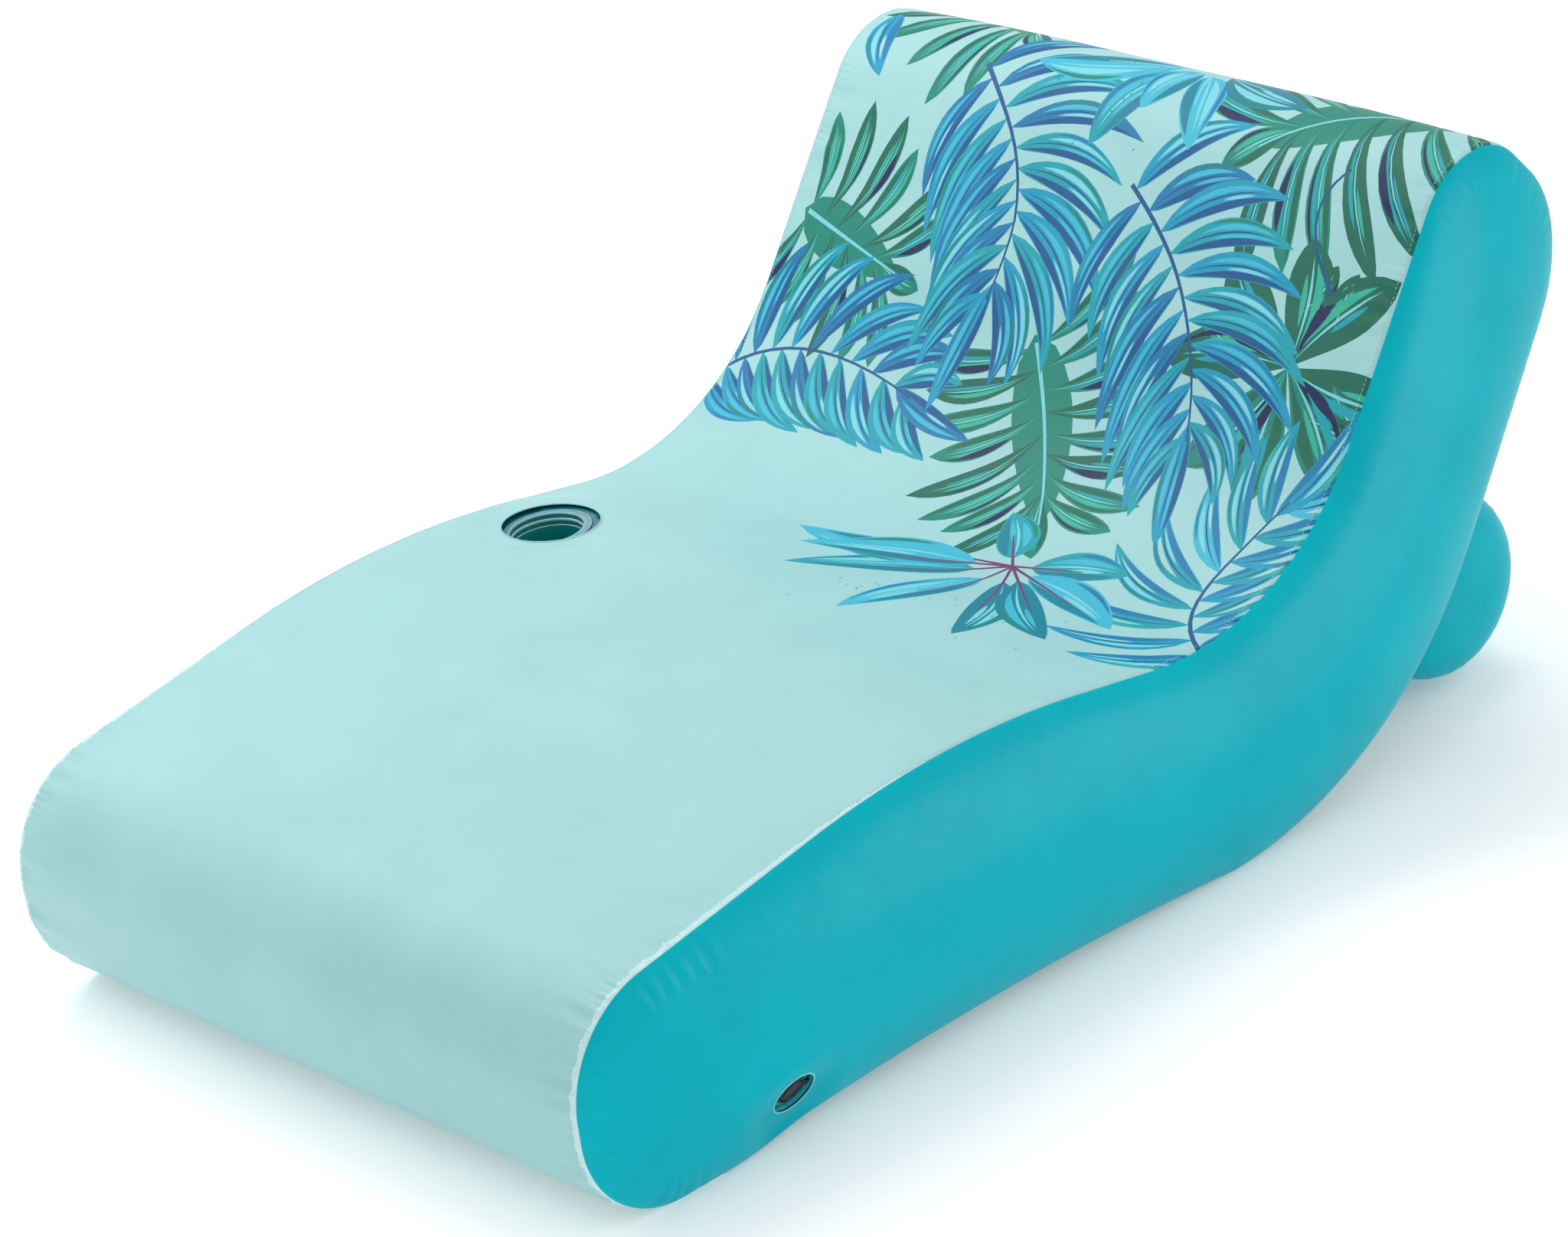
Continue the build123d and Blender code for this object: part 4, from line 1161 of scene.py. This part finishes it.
NECK_BEADS = ((-0.0078, 0.0018), (-0.0145, 0.0007))
NECK_BEAD_T = 0.0012
WELL_CREASE = 0.0005
WELD_DOTS, WELD_DOT_R = 110, 0.0461


def well_wall():
    """The ribbed neck and the slightly creased wall of the cup well."""
    made = lathe("cup_well_wall", CUP, WELL_PROFILE, 120)
    local = Matrix(CUP).inverted()
    for v in made.data.vertices:
        at = local @ v.co
        below = float(smooth(np.array(-at.z), 0.02, 0.05))
        angle = math.atan2(at.y, at.x)
        crease = WELL_CREASE * below * (math.sin(7 * angle + 0.4) + 0.6 * math.sin(11 * angle))
        at.x *= 1 + crease / CUP_R
        at.y *= 1 + crease / CUP_R
        v.co = CUP @ at
    return made


finish_piece(lathe("cup_flange_ring", CUP, FLANGE_PROFILE, 120), FLANGE, "cup_flange")
dots = bead_ring("cup_weld_dots", CUP, WELD_DOTS, WELD_DOT_R, -0.0002, False, 0.0009, 0.0009, 0.0007)
finish_piece(dots, FLANGE)
# The two beads in the neck are pale vinyl: painted highlights where light reflects on the neck's ribs.
for word, (height, half) in zip(("upper", "lower"), NECK_BEADS):
    wall = CUP_R + 0.0002
    profile = [(wall - NECK_BEAD_T * math.sin(a), height + half * math.cos(a)) for a in BEAD_TURNS]
    finish_piece(lathe(f"cup_neck_highlight_bead_{word}", CUP, profile), HIGHLIGHT_BEAD, slot="cup_vinyl")
finish_piece(well_wall(), WELL, "cup_well")
finish_piece(lathe("cup_well_floor", CUP, FLOOR_PROFILE, 96), WELL, "cup_floor")


# ---- inflation valve
def dress(node, material, bevel=0.0):
    """Gives a CAD node its material and, where asked, softened edges."""
    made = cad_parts[node]
    made.data.materials.clear()
    made.data.materials.append(material)
    if bevel:
        edge = made.modifiers.new("softened", "BEVEL")
        edge.width, edge.segments, edge.limit_method = bevel, 2, "ANGLE"
        edge.angle_limit = math.radians(40)


dress("valve_base", VALVE_VINYL)
dress("valve_gasket", RUBBER)
dress("valve_body", VALVE_PLASTIC, 0.0003)
dress("valve_flap", CLEAR)
dress("valve_cap", BLACK, 0.0004)
dress("valve_cap_strap", BLACK, 0.0003)

CAP_RIBS, CAP_RIB_R = 28, 0.0138
CAP_RING = [(0.0088, -0.0030), (0.0092, -0.0023), (0.0099, -0.0022), (0.0104, -0.0024), (0.0107, -0.0030)]
finish_piece(lathe("valve_cap_ring", VALVE, CAP_RING, 72), BLACK, body="valve_cap")
cap_ribs = bead_ring("valve_cap_ribs", VALVE, CAP_RIBS, CAP_RIB_R, -0.0028, True, 0.0017, 0.0006, 0.0006)
finish_piece(cap_ribs, BLACK, body="valve_cap")

# ---- zip
ZIP_HALF = 0.330
TAPE_IN = 0.0040
TAPE_OUT = 0.0160
TAPE_PROFILE = (
    (TAPE_IN, 0.0001), (TAPE_IN + 0.0003, 0.0006), (0.010, 0.0007), (0.0152, 0.0006),
    (TAPE_OUT, 0.0001),
)
TAPE_UNEVEN = 0.00025
TOOTH_STEP = 0.0018
TAPE_STITCH_LINES = (-0.0138, -0.0118, 0.0118, 0.0138)


def zip_tape(name, side):
    """A woven tape with stitches, thin and slightly uneven along its edges."""
    x = np.linspace(-ZIP_HALF, ZIP_HALF, 160)
    rows = []
    for across, height in TAPE_PROFILE:
        uneven = TAPE_UNEVEN * ripple(x, 0.02, 60 + side) * (across > 0.012)
        rows.append(columns(x, side * (across + uneven), height))
    flat = np.vstack(rows)
    faces = grid_faces(len(rows), len(x), flip=side > 0)
    made = mesh_object(name, placed(ZIP, flat), faces)
    store(made, "cloth", flat * (1, 1, 0))
    return made


def zip_teeth():
    """The interlocked coil's teeth, alternately from either side."""
    x = np.arange(-ZIP_HALF + 0.007, ZIP_HALF - 0.007, TOOTH_STEP)
    side = np.where(np.arange(len(x)) % 2 == 0, 1.0, -1.0)
    centres = placed(ZIP, columns(x, side * 0.0008, 0))
    return beads("zip_teeth", centres, axis(ZIP, 1) * side[:, None], axis(ZIP, 2), 0.0024, 0.0008, 0.0009)


def tape_stitches():
    """The two rows of stitches that hold each tape to the cover."""
    x = np.arange(-ZIP_HALF + 0.006, ZIP_HALF - 0.006, 0.0042)
    rows = [columns(x, across, 0.0007) for across in TAPE_STITCH_LINES]
    centres = placed(ZIP, np.vstack(rows))
    return beads("zip_stitches", centres, axis(ZIP, 0), axis(ZIP, 2), 0.0014, 0.0003, 0.0003)


for word in ("upper", "lower"):
    node = f"zip_tape_{word}"
    low, high = map(Vector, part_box(node))
    sign = 1 if (ZIP.inverted() @ ((low + high) / 2)).y > 0 else -1
    finish_piece(zip_tape(f"zip_tape_{word}_weave", sign), TAPE, node)
teeth = finish_piece(zip_teeth(), TEETH, "zip_coil")
zip_thread = finish_piece(tape_stitches(), THREAD, slot="zip_tape")
dress("zip_end_stops", ZIP_PLASTIC, 0.0004)
dress("zip_slider", ZIP_PLASTIC, 0.0004)
dress("zip_pull", ZIP_PLASTIC, 0.0003)

# ---- bolster
BOLSTER_Y, BOLSTER_Z = 0.601, 0.121
BOLSTER_R = 0.1095
BOLSTER_END_RIGHT = 0.384
BOLSTER_END_LEFT = 0.3746
BOLSTER_SEAM_X = 0.352
LEAN = np.array([-0.779, 0.627])
LEAN_DISTANCE = 0.0912
STEM_HOLE_X = 0.37456
BOLSTER_FOLD = 0.0006
BOLSTER_SEED = 70
LEAN_BLEND = 14
BOLSTER_FILM_DEPTH = 0.004
TIE_T = 0.0012
DOME_POWER = 22
DOME_ROOT = 1 / 3
TIE_LOW, TIE_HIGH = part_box("bolster_tie")
TIE_FLAT = (TIE_HIGH[0] - TIE_LOW[0], TIE_HIGH[1] - TIE_LOW[1])


def dome_size(reach):
    """The size of the bolster's section at a share of its half length."""
    return np.clip(1 - reach**DOME_POWER, 1e-12, 1) ** DOME_ROOT


def bolster_radius(x, around, depth):
    """The bolster's radius: domed to its ends, flattened where it leans on the float."""
    end = np.where(x > 0, BOLSTER_END_RIGHT, BOLSTER_END_LEFT) - depth
    reach = np.clip(np.abs(x) / end, 0, 1)
    radius = (BOLSTER_R - depth) * dome_size(reach)
    facing = np.cos(around) * LEAN[0] + np.sin(around) * LEAN[1]
    limit = (LEAN_DISTANCE - depth) / np.clip(facing, 0.05, 1)
    return (radius**-LEAN_BLEND + limit**-LEAN_BLEND) ** (-1 / LEAN_BLEND)


def bolster_points(x, around, depth=0.0):
    """Points of the bolster's skin, with small puckers beside the end seams."""
    radius = bolster_radius(x, around, depth)
    gap = np.abs(np.abs(x) - BOLSTER_SEAM_X)
    fold = ripple(around * 0.08, 0.016, BOLSTER_SEED) * rise_and_fall(gap, 0.006)
    sink = SEAM_SINK * np.exp(-gap / SEAM_SINK)
    radius = radius + (BOLSTER_FOLD * fold - sink) * (depth == 0.0)
    return columns(x, BOLSTER_Y + radius * np.cos(around), BOLSTER_Z + radius * np.sin(around))


def bolster_skin(name, stations, depth=0.0, count=144):
    """A part of the bolster's skin between its first and last station."""
    around = turns(count)
    verts = [bolster_points(np.full(count, x), around, depth) for x in stations]
    faces = grid_faces(len(stations), count, closed=True, flip=stations[-1] > stations[0])
    made = mesh_object(name, np.vstack(verts), faces)
    store(made, "cloth", np.vstack([columns(x, around * BOLSTER_R, 0) for x in stations]))
    return made


def eased(start, end, count):
    """Stations that crowd towards the end."""
    t = np.linspace(0, 1, count)
    return start + (end - start) * (1 - (1 - t) ** 2.2)


def dome_stations(start, end, stop, count):
    """Stations of a domed end that step evenly in its radius, from its seam to where it stops."""
    size = np.linspace(dome_size(start / end), dome_size(stop / end), count)
    return end * (1 - size ** (1 / DOME_ROOT)) ** (1 / DOME_POWER)


near_seam = BOLSTER_SEAM_X - np.append(EDGE_GAPS[::-1], 0.0)
middle = np.linspace(-near_seam[0] + 0.01, near_seam[0] - 0.01, 40)
body_stations = np.concatenate([-near_seam[::-1], middle, near_seam])
bolster = finish_piece(bolster_skin("bolster_skin", body_stations), TEAL, "bolster_cover")
right_stations = dome_stations(BOLSTER_SEAM_X, BOLSTER_END_RIGHT, BOLSTER_END_RIGHT, 40)
end_right = finish_piece(bolster_skin("bolster_end_right_dome", right_stations), TEAL, "bolster_end_right")
left_stations = dome_stations(BOLSTER_SEAM_X, BOLSTER_END_LEFT, STEM_HOLE_X, 36)
end_left = finish_piece(bolster_skin("bolster_end_left_dome", -left_stations), TEAL, "bolster_end_left")
inner = np.concatenate([-eased(0.32, STEM_HOLE_X - 0.004, 16)[::-1], np.linspace(-0.31, 0.31, 12)])
inner = np.concatenate([inner, eased(0.32, BOLSTER_END_RIGHT - 0.0041, 16)])
bolster_film = bolster_skin("bolster_film", inner, BOLSTER_FILM_DEPTH, 72)
finish_piece(bolster_film, BLADDER, "bolster_bladder")


def bolster_stitches():
    """A row of stitches beside each end seam of the bolster."""
    around = turns(120)
    inset = BOLSTER_SEAM_X - 0.004
    centres = np.vstack([bolster_points(np.full(120, x), around) for x in (-inset, inset)])
    angle = np.tile(around, 2)
    run = columns(0, -np.sin(angle), np.cos(angle))
    up = columns(0, np.cos(angle), np.sin(angle))
    return beads("bolster_stitches", centres, run, up, 0.0016, 0.0003, 0.0005)


finish_piece(bolster_stitches(), THREAD, slot="teal_fabric")


def tie_strip():
    """The strap that ties the bolster to the float's back, following the bolster's top."""
    x = np.linspace(TIE_LOW[0], TIE_HIGH[0], 90)
    y = np.linspace(TIE_LOW[1], TIE_HIGH[1], 9)
    xs, ys = np.meshgrid(x, y, indexing="ij")
    wander = 0.0005 * ripple(xs.ravel(), 0.05, 90).reshape(xs.shape)
    half_length = np.where(xs > 0, BOLSTER_END_RIGHT, BOLSTER_END_LEFT)
    fall = BOLSTER_R * (1 - dome_size(np.abs(xs) / half_length))
    zs = TIE_HIGH[2] - 0.0002 + wander - fall * (ys - TIE_LOW[1]) / TIE_FLAT[1]
    verts = columns(xs, ys, zs).reshape(-1, 3)
    made = mesh_object("bolster_tie_strap", verts, grid_faces(len(x), len(y), flip=True))
    store(made, "cloth", verts[:, [0, 1, 1]])
    thick = made.modifiers.new("cloth", "SOLIDIFY")
    thick.thickness = TIE_T
    return made


tie = finish_piece(tie_strip(), TEAL, "bolster_tie")

for node in ("stem_valve_base", "stem_valve_stem", "stem_valve_plug"):
    dress(node, CLEAR)

# ---- floor, light and camera
floor_mesh = bpy.data.meshes.new("floor")
FLOOR_HALF = 9
floor_corners = [(FLOOR_HALF * x, FLOOR_HALF * y, 0) for x, y in ((-1, -1), (1, -1), (1, 1), (-1, 1))]
floor_mesh.from_pydata(floor_corners, [], [(0, 1, 2, 3)])
floor = bpy.data.objects.new("floor", floor_mesh)
bpy.context.scene.collection.objects.link(floor)
pale = Shader("pale_floor", 0.9, specular=0.1)
pale.shader.inputs["Emission Color"].default_value = (1.0, 1.0, 1.0, 1.0)
pale.shader.inputs["Emission Strength"].default_value = 0.20
pale.paint(pale.ramp(pale.noise(0.6), (0.92, 0.92, 0.92), (0.94, 0.94, 0.94)))
floor_mesh.materials.append(pale.material)


def softbox(name, place, target, size, power):
    """A large soft light aimed at a point."""
    data = bpy.data.lights.new(name, "AREA")
    data.shape, data.size, data.size_y, data.energy = "RECTANGLE", size[0], size[1], power
    made = bpy.data.objects.new(name, data)
    made.location = place
    made.rotation_euler = (Vector(target) - Vector(place)).to_track_quat("-Z", "Y").to_euler()
    made.visible_camera = False
    bpy.context.scene.collection.objects.link(made)
    return made


softbox("overhead", (-1.2, 0.9, 3.4), (0, 0, 0.2), (3.2, 0.9), 42)
softbox("nose", (-2.1, -0.9, 2.4), (0, -0.65, 0.25), (2.6, 0.25), 28)
softbox("side", (3.2, 1.6, 1.9), (0.3, 0.3, 0.3), (0.5, 2.6), 12)
# A narrow strip that only shows as a reflection: the soft streak down the side of the backrest.
streak = softbox("streak", (1.82, 1.05, 0.30), (0.46, 0.48, 0.40), (0.22, 0.6), 18)
streak.visible_diffuse = False

world = bpy.data.worlds.new("studio")
bpy.context.scene.world = world
world.use_nodes = True
world.node_tree.nodes["Background"].inputs["Color"].default_value = (1.0, 1.0, 1.0, 1.0)
world.node_tree.nodes["Background"].inputs["Strength"].default_value = 0.78

camera = bpy.data.objects.new("camera", bpy.data.cameras.new("camera"))
bpy.context.scene.collection.objects.link(camera)
CAMERA_LENS = 140.6
CAMERA_PLACE = (4.4658, -3.7171, 2.9619)
camera.data.lens = CAMERA_LENS
camera.data.sensor_width = 36.0
camera.data.clip_end = 60.0
CAMERA_RIGHT = (0.6785, 0.7224, -0.1332)
CAMERA_BACK = (0.6981, -0.5777, 0.4231)
camera.matrix_world = plane_at(CAMERA_PLACE, CAMERA_RIGHT, CAMERA_BACK)
bpy.context.scene.camera = camera
bpy.context.scene.view_settings.view_transform = "Standard"
